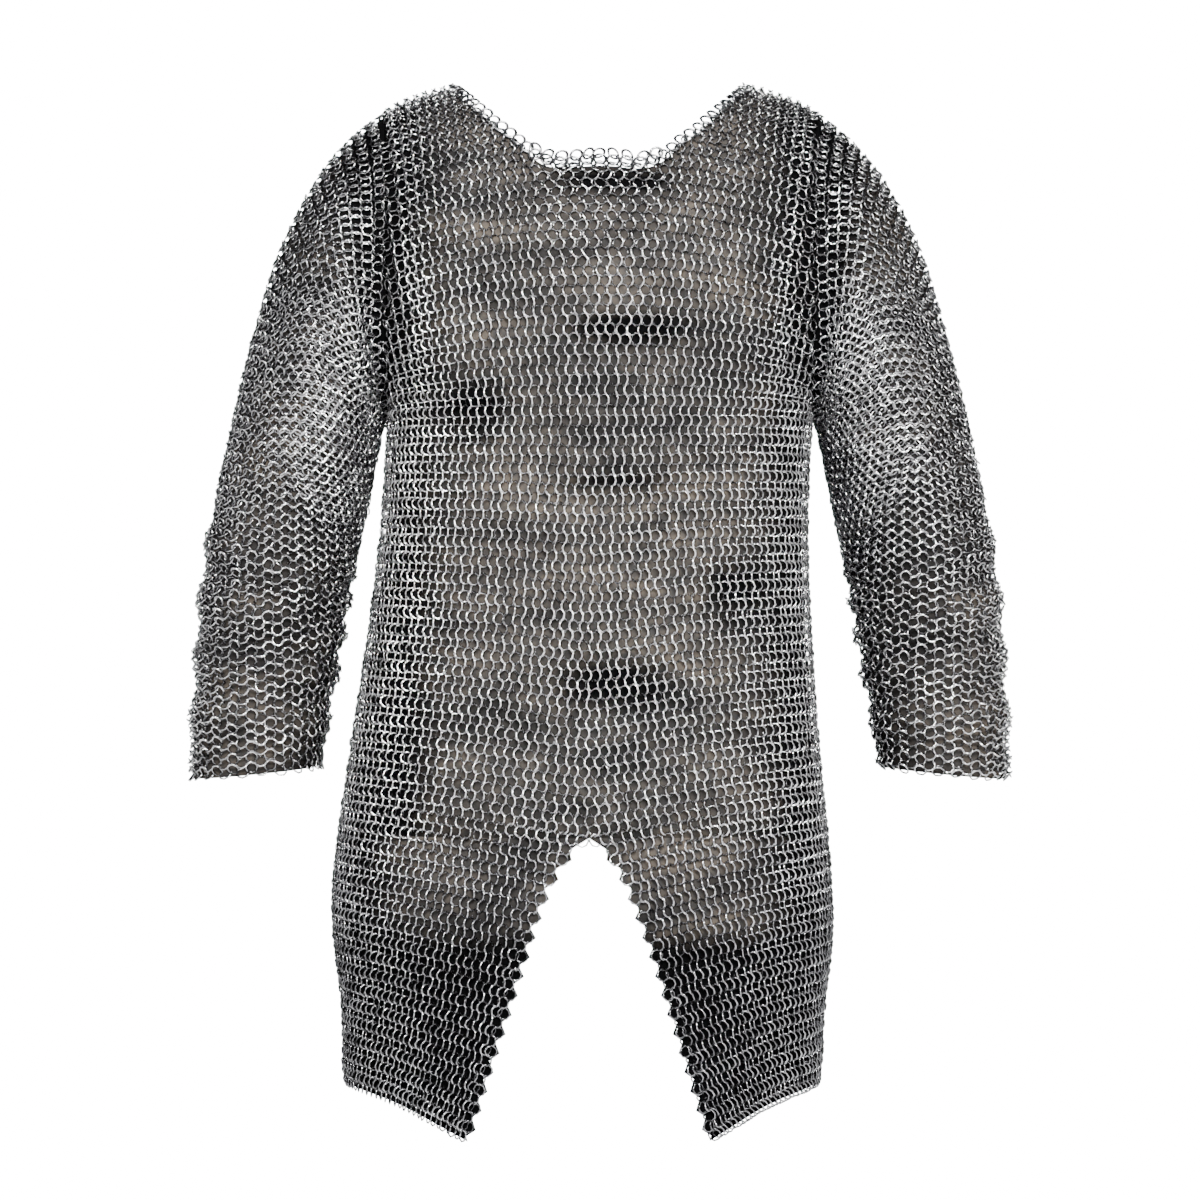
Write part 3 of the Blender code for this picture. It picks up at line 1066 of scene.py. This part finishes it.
def wear_and_shade_group() -> bpy.types.NodeTree:
    """Make the node group of noise patches and grain: wear on the steel, and painted shade and mottling in the web.

    Returns:
        A group with the inputs Patch Scale, Patch Flatness and Grain Scale and the outputs Patches and Grain.
    """
    group = bpy.data.node_groups.new("handling_wear", "ShaderNodeTree")
    for name, value in (("Patch Scale", 28.0), ("Patch Flatness", 1.0), ("Grain Scale", 700.0)):
        socket = group.interface.new_socket(name, in_out="INPUT", socket_type="NodeSocketFloat")
        socket.default_value = value
    for name in ("Patches", "Grain"):
        group.interface.new_socket(name, in_out="OUTPUT", socket_type="NodeSocketFloat")
    build = NodeBuilder(group)
    entry, leave = build.add("NodeGroupInput"), build.add("NodeGroupOutput")
    place = build.add("ShaderNodeTexCoord")
    squeeze = build.add("ShaderNodeCombineXYZ")
    build.set(squeeze, X=1.0, Y=1.0)
    build.link(entry.outputs["Patch Flatness"], squeeze.inputs["Z"])
    squeezed = build.add("ShaderNodeVectorMath", operation="MULTIPLY")
    build.link(place.outputs["Object"], squeezed.inputs[0])
    build.link(squeeze.outputs[0], squeezed.inputs[1])
    for source, target, detail, where in (
        ("Patch Scale", "Patches", 3.0, squeezed.outputs[0]),
        ("Grain Scale", "Grain", 2.0, place.outputs["Object"]),
    ):
        noise = build.set(build.add("ShaderNodeTexNoise"), Detail=detail, Roughness=0.6)
        build.link(where, noise.inputs["Vector"])
        build.link(entry.outputs[source], noise.inputs["Scale"])
        build.link(build.spread(noise.outputs["Fac"], From_Min=0.36, From_Max=0.64), leave.inputs[target])
    return group


@dataclass(frozen=True)
class RingSteel:
    """Drawn steel wire, darker in patches of wear, with painted light and shade ring by ring, and painted shade where
    it lies deep in the mail.
    """

    name: str
    bright: Triple
    dark: Triple
    smooth: float
    rough: float
    patch_scale: float = 26.0
    grain_scale: float = 900.0
    patch_tone: float = 0.70
    deep: float = 0.20
    proud: float = 0.76
    deep_tone: float = 0.05
    grain: Pair = (0.25, 0.0001)

    def material(self, wear: bpy.types.NodeTree) -> bpy.types.Material:
        """Make the finish.

        Args:
            wear: The shared group of patches and grain.

        Returns:
            The material.
        """
        made, build, shader = new_material(self.name)
        build.set(shader, Metallic=1.0)
        worn = build.add("ShaderNodeGroup", node_tree=wear)
        build.set(worn, Patch_Scale=self.patch_scale, Grain_Scale=self.grain_scale)
        patches = build.spread(worn.outputs["Patches"], To_Min=self.patch_tone)
        # The stored tone carries painted light and shade, and lit paints shade on the wire that lies deep in the mail.
        tone = build.times(patches, build.stored("ring_tone"))
        proud = build.stored("ring_proud")
        lit = build.spread(proud, From_Min=self.deep, From_Max=self.proud, To_Min=self.deep_tone)
        build.link(build.mixed(self.dark, self.bright, build.times(tone, lit)), shader.inputs["Base Color"])
        rough = build.spread(worn.outputs["Grain"], To_Min=self.smooth, To_Max=self.rough)
        build.link(rough, shader.inputs["Roughness"])
        build.bump(worn.outputs["Grain"], shader, self.grain)
        return made


@dataclass(frozen=True)
class ShadowWeb:
    """Painted shade for the depth of the mail behind its rings: nearly black, grey and brownish where painted light
    falls in.
    """

    name: str = "mail_depth"
    black: Triple = (0.0008, 0.0008, 0.0009)
    grey: Triple = (0.027, 0.026, 0.025)
    warm: Triple = (0.060, 0.050, 0.040)
    roughness: float = 0.9
    shine: float = 0.02
    fine_patches: float = 105.0
    broad_patches: float = 9.0
    broad_flatness: float = 2.6
    least_light: float = 0.32
    cell_scale: float = 120.0
    cells: Pair = (0.6, 0.001)

    def material(self, wear: bpy.types.NodeTree) -> bpy.types.Material:
        """Make the finish.

        Args:
            wear: The shared group of patches and grain.

        Returns:
            The material.
        """
        made, build, shader = new_material(self.name)
        build.set(shader, Roughness=self.roughness, Specular_IOR_Level=self.shine)
        fine = build.set(build.add("ShaderNodeGroup", node_tree=wear), Patch_Scale=self.fine_patches)
        broad = build.add("ShaderNodeGroup", node_tree=wear)
        build.set(broad, Patch_Scale=self.broad_patches, Patch_Flatness=self.broad_flatness)
        # Where painted light falls in, the web is grey with brownish patches, and broad noise patches dim that light
        # into painted shade.
        warmth = build.times(fine.outputs["Patches"], broad.outputs["Patches"])
        depth = build.mixed(self.grey, self.warm, warmth)
        reach = build.spread(broad.outputs["Patches"], To_Min=self.least_light)
        painted_light = build.times(build.stored("light_in"), reach)
        build.link(build.mixed(self.black, depth, painted_light), shader.inputs["Base Color"])
        cells = build.set(build.add("ShaderNodeTexVoronoi"), Scale=self.cell_scale)
        build.link(build.add("ShaderNodeTexCoord").outputs["Object"], cells.inputs["Vector"])
        build.bump(cells.outputs["Distance"], shader, self.cells)
        return made


class RingCopier:
    """Copies a modelled ring to every place of a piece."""

    def __init__(self, ring: RingSize, name: str) -> None:
        """Model the ring and make the node group that copies it.

        Args:
            ring: The ring's sizes.
            name: What the ring is for.
        """
        self.ring = ring.model(f"ring_pattern_{name}")
        self.radius = ring.radius
        group = bpy.data.node_groups.new(f"link_rings_{name}", "GeometryNodeTree")
        group.interface.new_socket("Places", in_out="INPUT", socket_type="NodeSocketGeometry")
        group.interface.new_socket("Ring", in_out="INPUT", socket_type="NodeSocketObject")
        group.interface.new_socket("Rings", in_out="OUTPUT", socket_type="NodeSocketGeometry")
        build = NodeBuilder(group)
        entry, leave = build.add("NodeGroupInput"), build.add("NodeGroupOutput")
        shape = build.add("GeometryNodeObjectInfo")
        copies = build.add("GeometryNodeInstanceOnPoints")
        real = build.add("GeometryNodeRealizeInstances")
        axis = build.add("GeometryNodeInputNamedAttribute", data_type="FLOAT_VECTOR")
        axis.inputs["Name"].default_value = "ring_axis"
        spin = build.add("GeometryNodeInputNamedAttribute", data_type="FLOAT")
        spin.inputs["Name"].default_value = "ring_spin"
        lean = build.add("FunctionNodeAlignRotationToVector", axis="Z")
        turn = build.add("FunctionNodeAxisAngleToRotation")
        turn.inputs["Axis"].default_value = (0, 0, 1)
        both = build.add("FunctionNodeRotateRotation", rotation_space="LOCAL")
        build.link(entry.outputs["Places"], copies.inputs["Points"])
        build.link(entry.outputs["Ring"], shape.inputs["Object"])
        build.link(shape.outputs["Geometry"], copies.inputs["Instance"])
        build.link(axis.outputs["Attribute"], lean.inputs["Vector"])
        build.link(spin.outputs["Attribute"], turn.inputs["Angle"])
        build.link(lean.outputs["Rotation"], both.inputs["Rotation"])
        build.link(turn.outputs["Rotation"], both.inputs["Rotate By"])
        build.link(both.outputs["Rotation"], copies.inputs["Rotation"])
        build.link(copies.outputs["Instances"], real.inputs["Geometry"])
        build.link(real.outputs["Geometry"], leave.inputs["Rings"])
        self.group = group

    def piece(
        self, name: str, centre: Array, outward: Array, axis: Array, spin: Array, tone: Array
    ) -> bpy.types.Object:
        """Copy the ring to a piece's places.

        Args:
            name: The piece's name.
            centre: Centres of the rings.
            outward: The way out of the shirt at each ring.
            axis: The way each ring faces.
            spin: Turn of each ring about its own axis.
            tone: How bright each ring is, a random tone with painted light and shade.

        Returns:
            The piece, as one mesh.
        """
        mesh = bpy.data.meshes.new(name)
        mesh.vertices.add(len(centre))
        mesh.vertices.foreach_set("co", centre.astype(np.float32).ravel())
        for label, values in (("ring_axis", axis), ("ring_spin", spin), ("ring_tone", tone)):
            store(mesh, label, values)
        made = show(name, mesh)
        modifier = made.modifiers.new("rings", "NODES")
        modifier.node_group = self.group
        for item in self.group.interface.items_tree:
            if item.in_out == "INPUT" and item.name == "Ring":
                modifier[item.identifier] = self.ring
        apply_modifier(made, modifier)
        for label in ("ring_axis", "ring_spin"):
            found = made.data.attributes.get(label)
            if found is not None:
                made.data.attributes.remove(found)
        # How far each point stands out of the mail, by which the steel paints shade on the wire that lies deep.
        corners = np.empty(len(made.data.vertices) * 3, np.float32)
        made.data.vertices.foreach_get("co", corners)
        corners = corners.reshape(len(centre), -1, 3) - centre[:, None]
        proud = 0.5 + 0.5 * np.sum(corners * outward[:, None], axis=2) / self.radius
        store(made.data, "ring_proud", np.clip(proud, 0, 1))
        return made

    def clear(self) -> None:
        """Remove the ring that was copied."""
        bpy.data.objects.remove(self.ring, do_unlink=True)


@dataclass
class MailRings:
    """All the rings of the shirt, in pieces that ride with the webs."""

    form: WornForm
    weave: Weave
    lean_pitches: tuple[float, ...] = (0.0045, 0.0078, 0.0118)
    lean_degrees: tuple[float, ...] = (58.0, 48.0, 22.0)
    flat_degrees: float = 10.0
    unevenness: float = 0.07
    slack: float = 0.00025
    tone: float = 0.66
    tone_spread: float = 0.20
    tone_range: Pair = (0.2, 1.0)
    shaded_range: Pair = (0.05, 1.0)
    seed: int = 1066

    def places(self, chance: np.random.Generator) -> dict[str, RingPlaces]:
        """Place every ring and share them out among the pieces.

        Args:
            chance: Where the unevenness comes from.

        Returns:
            The rings of each piece, by its name.
        """
        found: dict[str, RingPlaces] = {}
        for side in Side:
            word = side.name.lower()
            upper = UpperNet(self.form, self.weave, side)
            found[f"rings_yoke_{word}"] = upper.rings(False)[0]
            sleeves, column = upper.rings(True)
            lower = LowerNet(self.form, self.weave, side).rings()
            in_skirt = lower.centre[:, 2] < self.form.vent_top
            found[f"rings_waist_{word}"] = lower.chosen(~in_skirt)
            beside_vent = lower.centre[:, 0] - SECTIONS.read("centre", lower.centre[:, 2]) - self.form.vent_to_left
            for hand in Hand:
                label = f"{word}_{hand.name.lower()}"
                found[f"rings_sleeve_{label}"] = sleeves.chosen(column * hand.value > 0)
                found[f"rings_skirt_{label}"] = lower.chosen(in_skirt & (beside_vent * hand.value > 0))
            found[f"rings_neck_{word}"] = NeckEdge().rings(self.form, side, chance)
        return found

    def build(self, copiers: dict[str, RingCopier], finishes: dict[str, bpy.types.Material]) -> None:
        """Copy the rings into their pieces.

        Args:
            copiers: What copies the rings of the front, the back and the neckline.
            finishes: The steel of each part of the shirt.
        """
        chance = np.random.default_rng(self.seed)
        total = 0
        for name, rings in sorted(self.places(chance).items()):
            count = len(rings.centre)
            total += count
            lean = np.radians(np.interp(rings.pitch, self.lean_pitches, self.lean_degrees))
            lean = lean * (1 - rings.flat) + math.radians(self.flat_degrees) * rings.flat
            lean = lean + chance.normal(0, self.unevenness, count)
            sign = np.where(rings.row % 2 == 0, 1.0, -1.0)
            axis = rings.outward * np.cos(lean)[:, None] + rings.run * (sign * np.sin(lean))[:, None]
            axis = unit(axis + chance.normal(0, self.unevenness, (count, 3)))
            centre = rings.centre + chance.normal(0, self.slack, (count, 3))
            spin = chance.uniform(0, 2 * HALF_TURN, count)
            tone = np.clip(chance.normal(self.tone, self.tone_spread, count), *self.tone_range)
            # Painted light and shade, laid over each ring's random tone.
            tone = np.clip(tone * rings.shade, *self.shaded_range)
            kind = "neck" if "neck" in name else "front" if "front" in name else "back"
            piece = copiers[kind].piece(name, centre, rings.outward, axis, spin, tone)
            piece.data.materials.clear()
            piece.data.materials.append(finishes.get(name.split("_")[1], finishes["upper"]))
            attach(piece, BODY)
            LOG.info("%s: %d rings, %d faces", name, count, len(piece.data.polygons))
        LOG.info("rings in all: %d", total)


@dataclass
class WebPanel:
    """One dark web of painted shade, which stands for one solid of the shirt."""

    node: str
    rows: Array
    light: Array
    closed: bool
    rings: list[str]

    def build(self, material: bpy.types.Material, middle_of: Array, depth: float, thickness: float) -> None:
        """Build the web a little inside the middle of the mail.

        Args:
            material: Its finish.
            middle_of: For each point, a place inside the shirt that the web faces away from.
            depth: How far inside the middle of the mail it lies.
            thickness: Its thickness.
        """
        rows = self.rows
        down = np.gradient(rows, axis=0)
        if self.closed:
            over = np.roll(rows, -1, axis=1) - np.roll(rows, 1, axis=1)
        else:
            over = np.gradient(rows, axis=1)
        outward = facing_out(cross(over, down), rows - middle_of)
        points = (rows - outward * depth).reshape(-1, 3)
        height, width = rows.shape[:2]
        faces = []
        turned = float(np.mean(np.sum(outward * cross(over, down), axis=-1))) > 0
        for i in range(height - 1):
            for j in range(width if self.closed else width - 1):
                k = (j + 1) % width
                corner = [i * width + j, i * width + k, (i + 1) * width + k, (i + 1) * width + j]
                faces.append(corner if turned else corner[::-1])
        mesh = bpy.data.meshes.new(f"web_{self.node}")
        mesh.from_pydata(points.tolist(), [], faces)
        store(mesh, "light_in", self.light)
        web = show(mesh.name, mesh)
        mesh.materials.append(material)
        mesh.shade_smooth()
        wide = running_length(rows)[:, -1]
        if self.closed:
            wide = wide + np.linalg.norm(rows[:, 0] - rows[:, -1], axis=1)
        # The first column of a flap follows the bumps at the vent, which don't make the sheet longer.
        solid = web.modifiers.new("thickness", "SOLIDIFY")
        solid.thickness = thickness
        solid.offset = -1.0
        apply_modifier(web, solid)
        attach(web, BODY)
        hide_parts(self.node)


@dataclass
class MailWebs:
    """The eight webs of painted shade behind the rings, which stop a little short of the outermost rings."""

    form: WornForm
    weave: Weave
    depth: float = 0.0022
    thickness: float = 0.0008
    body_columns: int = 44
    yoke_rows: int = 24
    waist_rows: int = 18
    flap_columns: int = 22
    sleeve_loops: int = 66
    sleeve_columns: int = 34
    neck_column_share: float = 8 / 11
    deep_shadows: tuple[tuple[float, float, float, float], ...] = (
        (0.014, -0.098, 0.068, 0.016),
        (0.026, -0.230, 0.066, 0.020),
        (0.014, -0.368, 0.070, 0.013),
        (0.010, -0.537, 0.064, 0.026),
        (-0.110, -0.300, 0.040, 0.030),
        (0.120, -0.455, 0.036, 0.034),
    )
    neck_gap: float = 0.0088
    neck_gap_level: float = 0.0105
    cuff_gap: float = 0.0012
    hem_gap: float = 0.0002
    bump_reach: float = 0.0034
    between_bumps: float = 0.0022
    bumps_start: float = 0.02
    edge_steps: int = 60
    neck_level: Pair = (0.05, 0.07)
    neck_point_blend: Pair = (-0.008, 0.004)
    skirt_middle: float = -0.0155
    skirt_half: float = 0.22
    light_from_skirt: Pair = (-0.765, -0.735)
    light_to_side: Pair = (0.60, 0.90)
    shadow_edge: Pair = (0.55, 1.15)
    sleeve_light: float = 0.8
    sleeve_light_rise: float = 1.8
    sleeve_light_from: Pair = (0.22, 0.32)
    axis_pull: float = 0.5
    axis_top: float = -0.10

    def light_in(self, rows: Array, middle: float, half: float) -> Array:
        """Say how much light falls into the mail: none at the sides, in the skirt and in the deep shadows.

        Args:
            rows: Points of a web.
            middle: How far aside the middle of the body is.
            half: Half the width of the body.

        Returns:
            The light at each point, up to 1.
        """
        to_side = np.abs(rows[..., 0] - middle) / half
        low = smooth_step(*self.light_from_skirt, rows[..., 2])
        light = low * (1 - smooth_step(*self.light_to_side, to_side))
        for across, height, wide, tall in self.deep_shadows:
            away = np.hypot((rows[..., 0] - across) / wide, (rows[..., 2] - height) / tall)
            light = np.where(rows[..., 1] < 0, light * smooth_step(*self.shadow_edge, away), light)
        return light

    def body(self, side: Side) -> WebPanel:
        """Lay out the front or the back, from the neckline to the top of the vent.

        Args:
            side: Front or back.

        Returns:
            The panel.
        """
        form = self.form
        arches = ArchMap(form, side)
        shares = np.linspace(-1, 1, self.body_columns + 1)
        angle = shares * QUARTER
        hand = np.where(angle >= 0, 1, -1)
        level_along = form.armhole_along * np.abs(form.rounded(np.sin(angle)))
        near = np.abs(shares) / self.neck_column_share
        far = (np.abs(shares) - self.neck_column_share) / (1 - self.neck_column_share)
        at_ridge = np.where(
            near <= 1,
            form.neck_point_along * near,
            form.neck_point_along + (form.armhole_along - form.neck_point_along) * far,
        )
        rows = []
        for level in np.linspace(0, 1, self.yoke_rows, endpoint=False):
            along = at_ridge * (1 - level) + level_along * level
            gap = self.neck_gap + (self.neck_gap_level - self.neck_gap) * (1 - smooth_step(*self.neck_level, along))
            before, past = self.neck_point_blend
            gap = gap * (1 - smooth_step(form.neck_point_along + before, form.neck_point_along + past, along))
            top = arches.below_neck(form, along, side, gap)
            rows.append(form.arch(along, top + (1 - top) * level, side, hand))
        middle = form.vent_angle(np.array(form.vent_to_left), np.array(form.vent_top), Hand.LEFT)
        for share in np.linspace(0, 1, self.waist_rows + 1):
            height = form.armpit_height + (form.vent_top - form.armpit_height) * share
            turned = angle + middle * share * (1 - np.abs(shares))
            rows.append(form.section(turned, np.array(height), side))
        rows = np.array(rows)
        word = side.name.lower()
        light = self.light_in(rows, 0.0, form.armhole_along)
        rings = [f"rings_yoke_{word}", f"rings_waist_{word}", f"rings_neck_{word}"]
        return WebPanel(f"body_{word}", rows, light, False, rings)

    def sleeve(self, hand: Hand) -> tuple[WebPanel, Array]:
        """Lay out a sleeve, loop by loop from the armhole to the cuff, with its middle line.

        Args:
            hand: Which side of the wearer.

        Returns:
            The panel and its middle line.
        """
        form = self.form
        along = np.linspace(form.armhole_along, form.cuff_along - self.cuff_gap, self.sleeve_loops)[:, None]
        half = self.sleeve_columns // 2
        front = form.shell(along, np.linspace(0, 1, half + 1)[None, :], Side.FRONT, np.array(hand.value))
        back = form.shell(along, np.linspace(1, 0, half + 1)[None, 1:-1], Side.BACK, np.array(hand.value))
        rows = np.concatenate((front, back), axis=1)
        middle = form.arch_middle(along, Side.FRONT, np.array(hand.value)) * np.ones((1, rows.shape[1], 1))
        round_loop = np.linspace(0, 2, rows.shape[1], endpoint=False)
        from_foot = np.clip(np.abs(round_loop - 1) * self.sleeve_light_rise, 0, 1)
        light = from_foot[None, :] * smooth_step(*self.sleeve_light_from, along) * self.sleeve_light
        word = hand.name.lower()
        rings = [f"rings_sleeve_front_{word}", f"rings_sleeve_back_{word}"]
        return WebPanel(f"sleeve_{word}", rows, light, True, rings), middle

    def flap(self, side: Side, hand: Hand) -> WebPanel:
        """Lay out one skirt flap, whose edge at the vent swells behind each ring that stands out there.

        Args:
            side: Front or back.
            hand: Which side of the wearer.

        Returns:
            The panel.
        """
        form = self.form
        net = LowerNet(form, self.weave, side)
        drop = form.hem_drop_front if side is Side.FRONT else form.hem_drop_back
        tall = form.vent_top - form.hem_at_side
        found = [(0.0, 0.0)]
        for step in range(1, self.weave.body_rows + 1):
            at_side, fall = net.heights(float(step))
            row = (form.vent_top - at_side + fall) / (tall + drop)
            stands_out = (self.weave.armpit_row(side) + step) % 2 == 0
            if row > self.bumps_start:
                found.append((row, self.bump_reach if stands_out else -self.between_bumps))
        found.append((1 - self.hem_gap / tall, 0.0))
        row = np.array([place for place, _ in found])[:, None]
        reach = np.array([out for _, out in found])[:, None]
        wide = running_length(form.skirt(np.linspace(0, 1, self.edge_steps)[None, :], row, side, hand))[:, -1:]
        columns = np.linspace(1, 0, self.flap_columns + 1)[None, :] * np.ones_like(row)
        columns[:, :1] += reach / wide
        rows = form.skirt(columns, row, side, hand)
        light = self.light_in(rows, self.skirt_middle, self.skirt_half)
        name = f"{side.name.lower()}_{hand.name.lower()}"
        return WebPanel(f"skirt_{name}", rows, light, False, [f"rings_skirt_{name}"])

    def axis_of(self, rows: Array) -> Array:
        """Give the shirt's upright middle line beside each point.

        Args:
            rows: Points of a web.

        Returns:
            The place on the line beside each of them.
        """
        middle = rows.copy()
        middle[..., 0] *= self.axis_pull
        middle[..., 1] = 0
        middle[..., 2] = np.minimum(rows[..., 2], self.axis_top)
        return middle

    def build(self, material: bpy.types.Material) -> None:
        """Build the eight webs.

        Args:
            material: Their finish.
        """
        for side in Side:
            panel = self.body(side)
            panel.build(material, self.axis_of(panel.rows), self.depth, self.thickness)
            for hand in Hand:
                flap = self.flap(side, hand)
                flap.build(material, self.axis_of(flap.rows), self.depth, self.thickness)
        for hand in Hand:
            panel, middle = self.sleeve(hand)
            panel.build(material, middle, self.depth, self.thickness)


@dataclass(frozen=True)
class Studio:
    """The pale floor, the soft lights and the camera."""

    camera_distance: float = 3.4
    camera_height: float = -0.4635
    lens: float = 113.34
    floor_height: float = -1.45
    floor_size: float = 60
    floor_colour: Triple = (0.92, 0.92, 0.92)
    floor_roughness: float = 0.8
    white: float = 18.0
    room: float = 0.06
    lit_point: Triple = (0, 0, -0.45)
    lamps: tuple[tuple[str, Triple, float, float], ...] = (
        ("front_soft", (0.3, -3.2, 1.5), 0.9, 700.0),
        ("left_soft", (2.5, -1.4, 0.5), 0.8, 16.0),
        ("right_soft", (-2.5, -1.4, 0.5), 0.8, 16.0),
        ("back_soft", (0.0, 2.8, 1.4), 1.4, 190.0),
    )

    def camera(self) -> None:
        """Stand the camera at the photograph's angle, at an assumed distance."""
        data = bpy.data.cameras.new("view")
        data.lens = self.lens
        data.sensor_width = 36.0
        camera = show("view", data)
        camera.location = (0, -self.camera_distance, self.camera_height)
        camera.rotation_euler = (QUARTER, 0, 0)
        bpy.context.scene.camera = camera

    def floor(self) -> None:
        """Lay the pale floor, which the camera sees as white as the room behind it."""
        bpy.ops.object.select_all(action="DESELECT")
        bpy.ops.mesh.primitive_plane_add(size=self.floor_size, location=(0, 0, self.floor_height))
        floor = bpy.context.object
        floor.name = "floor"
        material, build, shader = new_material("pale_floor")
        out = material.node_tree.nodes["Material Output"]
        build.set(shader, Base_Color=(*self.floor_colour, 1), Roughness=self.floor_roughness)
        seen = build.add("ShaderNodeLightPath")
        glow = build.set(build.add("ShaderNodeEmission"), Strength=self.white)
        both = build.add("ShaderNodeMixShader")
        build.link(seen.outputs["Is Camera Ray"], both.inputs[0])
        build.link(shader.outputs[0], both.inputs[1])
        build.link(glow.outputs[0], both.inputs[2])
        build.link(both.outputs[0], out.inputs["Surface"])
        floor.data.materials.append(material)

    def light(self, name: str, place: Triple, size: float, power: float) -> None:
        """Hang one soft light that faces the shirt's middle.

        Args:
            name: The light's name.
            place: Where it hangs.
            size: Its width.
            power: Its power in watts.
        """
        data = bpy.data.lights.new(name, "AREA")
        data.shape = "DISK"
        data.size = size
        data.energy = power
        lamp = show(name, data)
        lamp.location = place
        lamp.rotation_euler = (Vector(self.lit_point) - Vector(place)).to_track_quat("-Z", "Y").to_euler()

    def lights(self) -> None:
        """Hang the soft lights and make the white surroundings."""
        for lamp in self.lamps:
            self.light(*lamp)
        world = bpy.data.worlds.new("white_room")
        world.use_nodes = True
        build = NodeBuilder(world.node_tree)
        glow = world.node_tree.nodes["Background"]
        glow.inputs["Color"].default_value = (1, 1, 1, 1)
        seen = build.add("ShaderNodeLightPath")
        level = build.spread(seen.outputs["Is Camera Ray"], To_Min=self.room, To_Max=self.white)
        build.link(level, glow.inputs["Strength"])
        bpy.context.scene.world = world

    def build(self) -> None:
        """Set up the studio."""
        self.camera()
        self.floor()
        self.lights()


def main() -> None:
    """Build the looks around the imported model."""
    logging.basicConfig(level=logging.INFO, format="%(name)s: %(message)s")
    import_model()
    Studio().build()
    form, weave = WornForm(), Weave()
    wear = wear_and_shade_group()
    # The skirt's steel is a darker copy of the upper steel, which paints shade on the skirt; the neckline's is darker
    # and rougher.
    steels = {
        "upper": RingSteel("ring_steel_bright", (0.93, 0.93, 0.94), (0.035, 0.035, 0.037), 0.17, 0.30),
        "skirt": RingSteel("ring_steel_dull", (0.70, 0.70, 0.72), (0.018, 0.018, 0.020), 0.17, 0.30),
        "neck": RingSteel("ring_steel_edge", (0.46, 0.46, 0.47), (0.020, 0.020, 0.022), 0.22, 0.36),
    }
    finishes = {part: steel.material(wear) for part, steel in steels.items()}
    copiers = {
        "front": RingCopier(RingSize(8, 3), "front"),
        "back": RingCopier(RingSize(7, 3), "back"),
        "neck": RingCopier(RingSize(14, 4, wire=0.0013), "neck"),
    }
    MailRings(form, weave).build(copiers, finishes)
    for copier in copiers.values():
        copier.clear()
    MailWebs(form, weave).build(ShadowWeb().material(wear))
    bpy.context.view_layer.update()


if __name__ == "__main__":
    main()
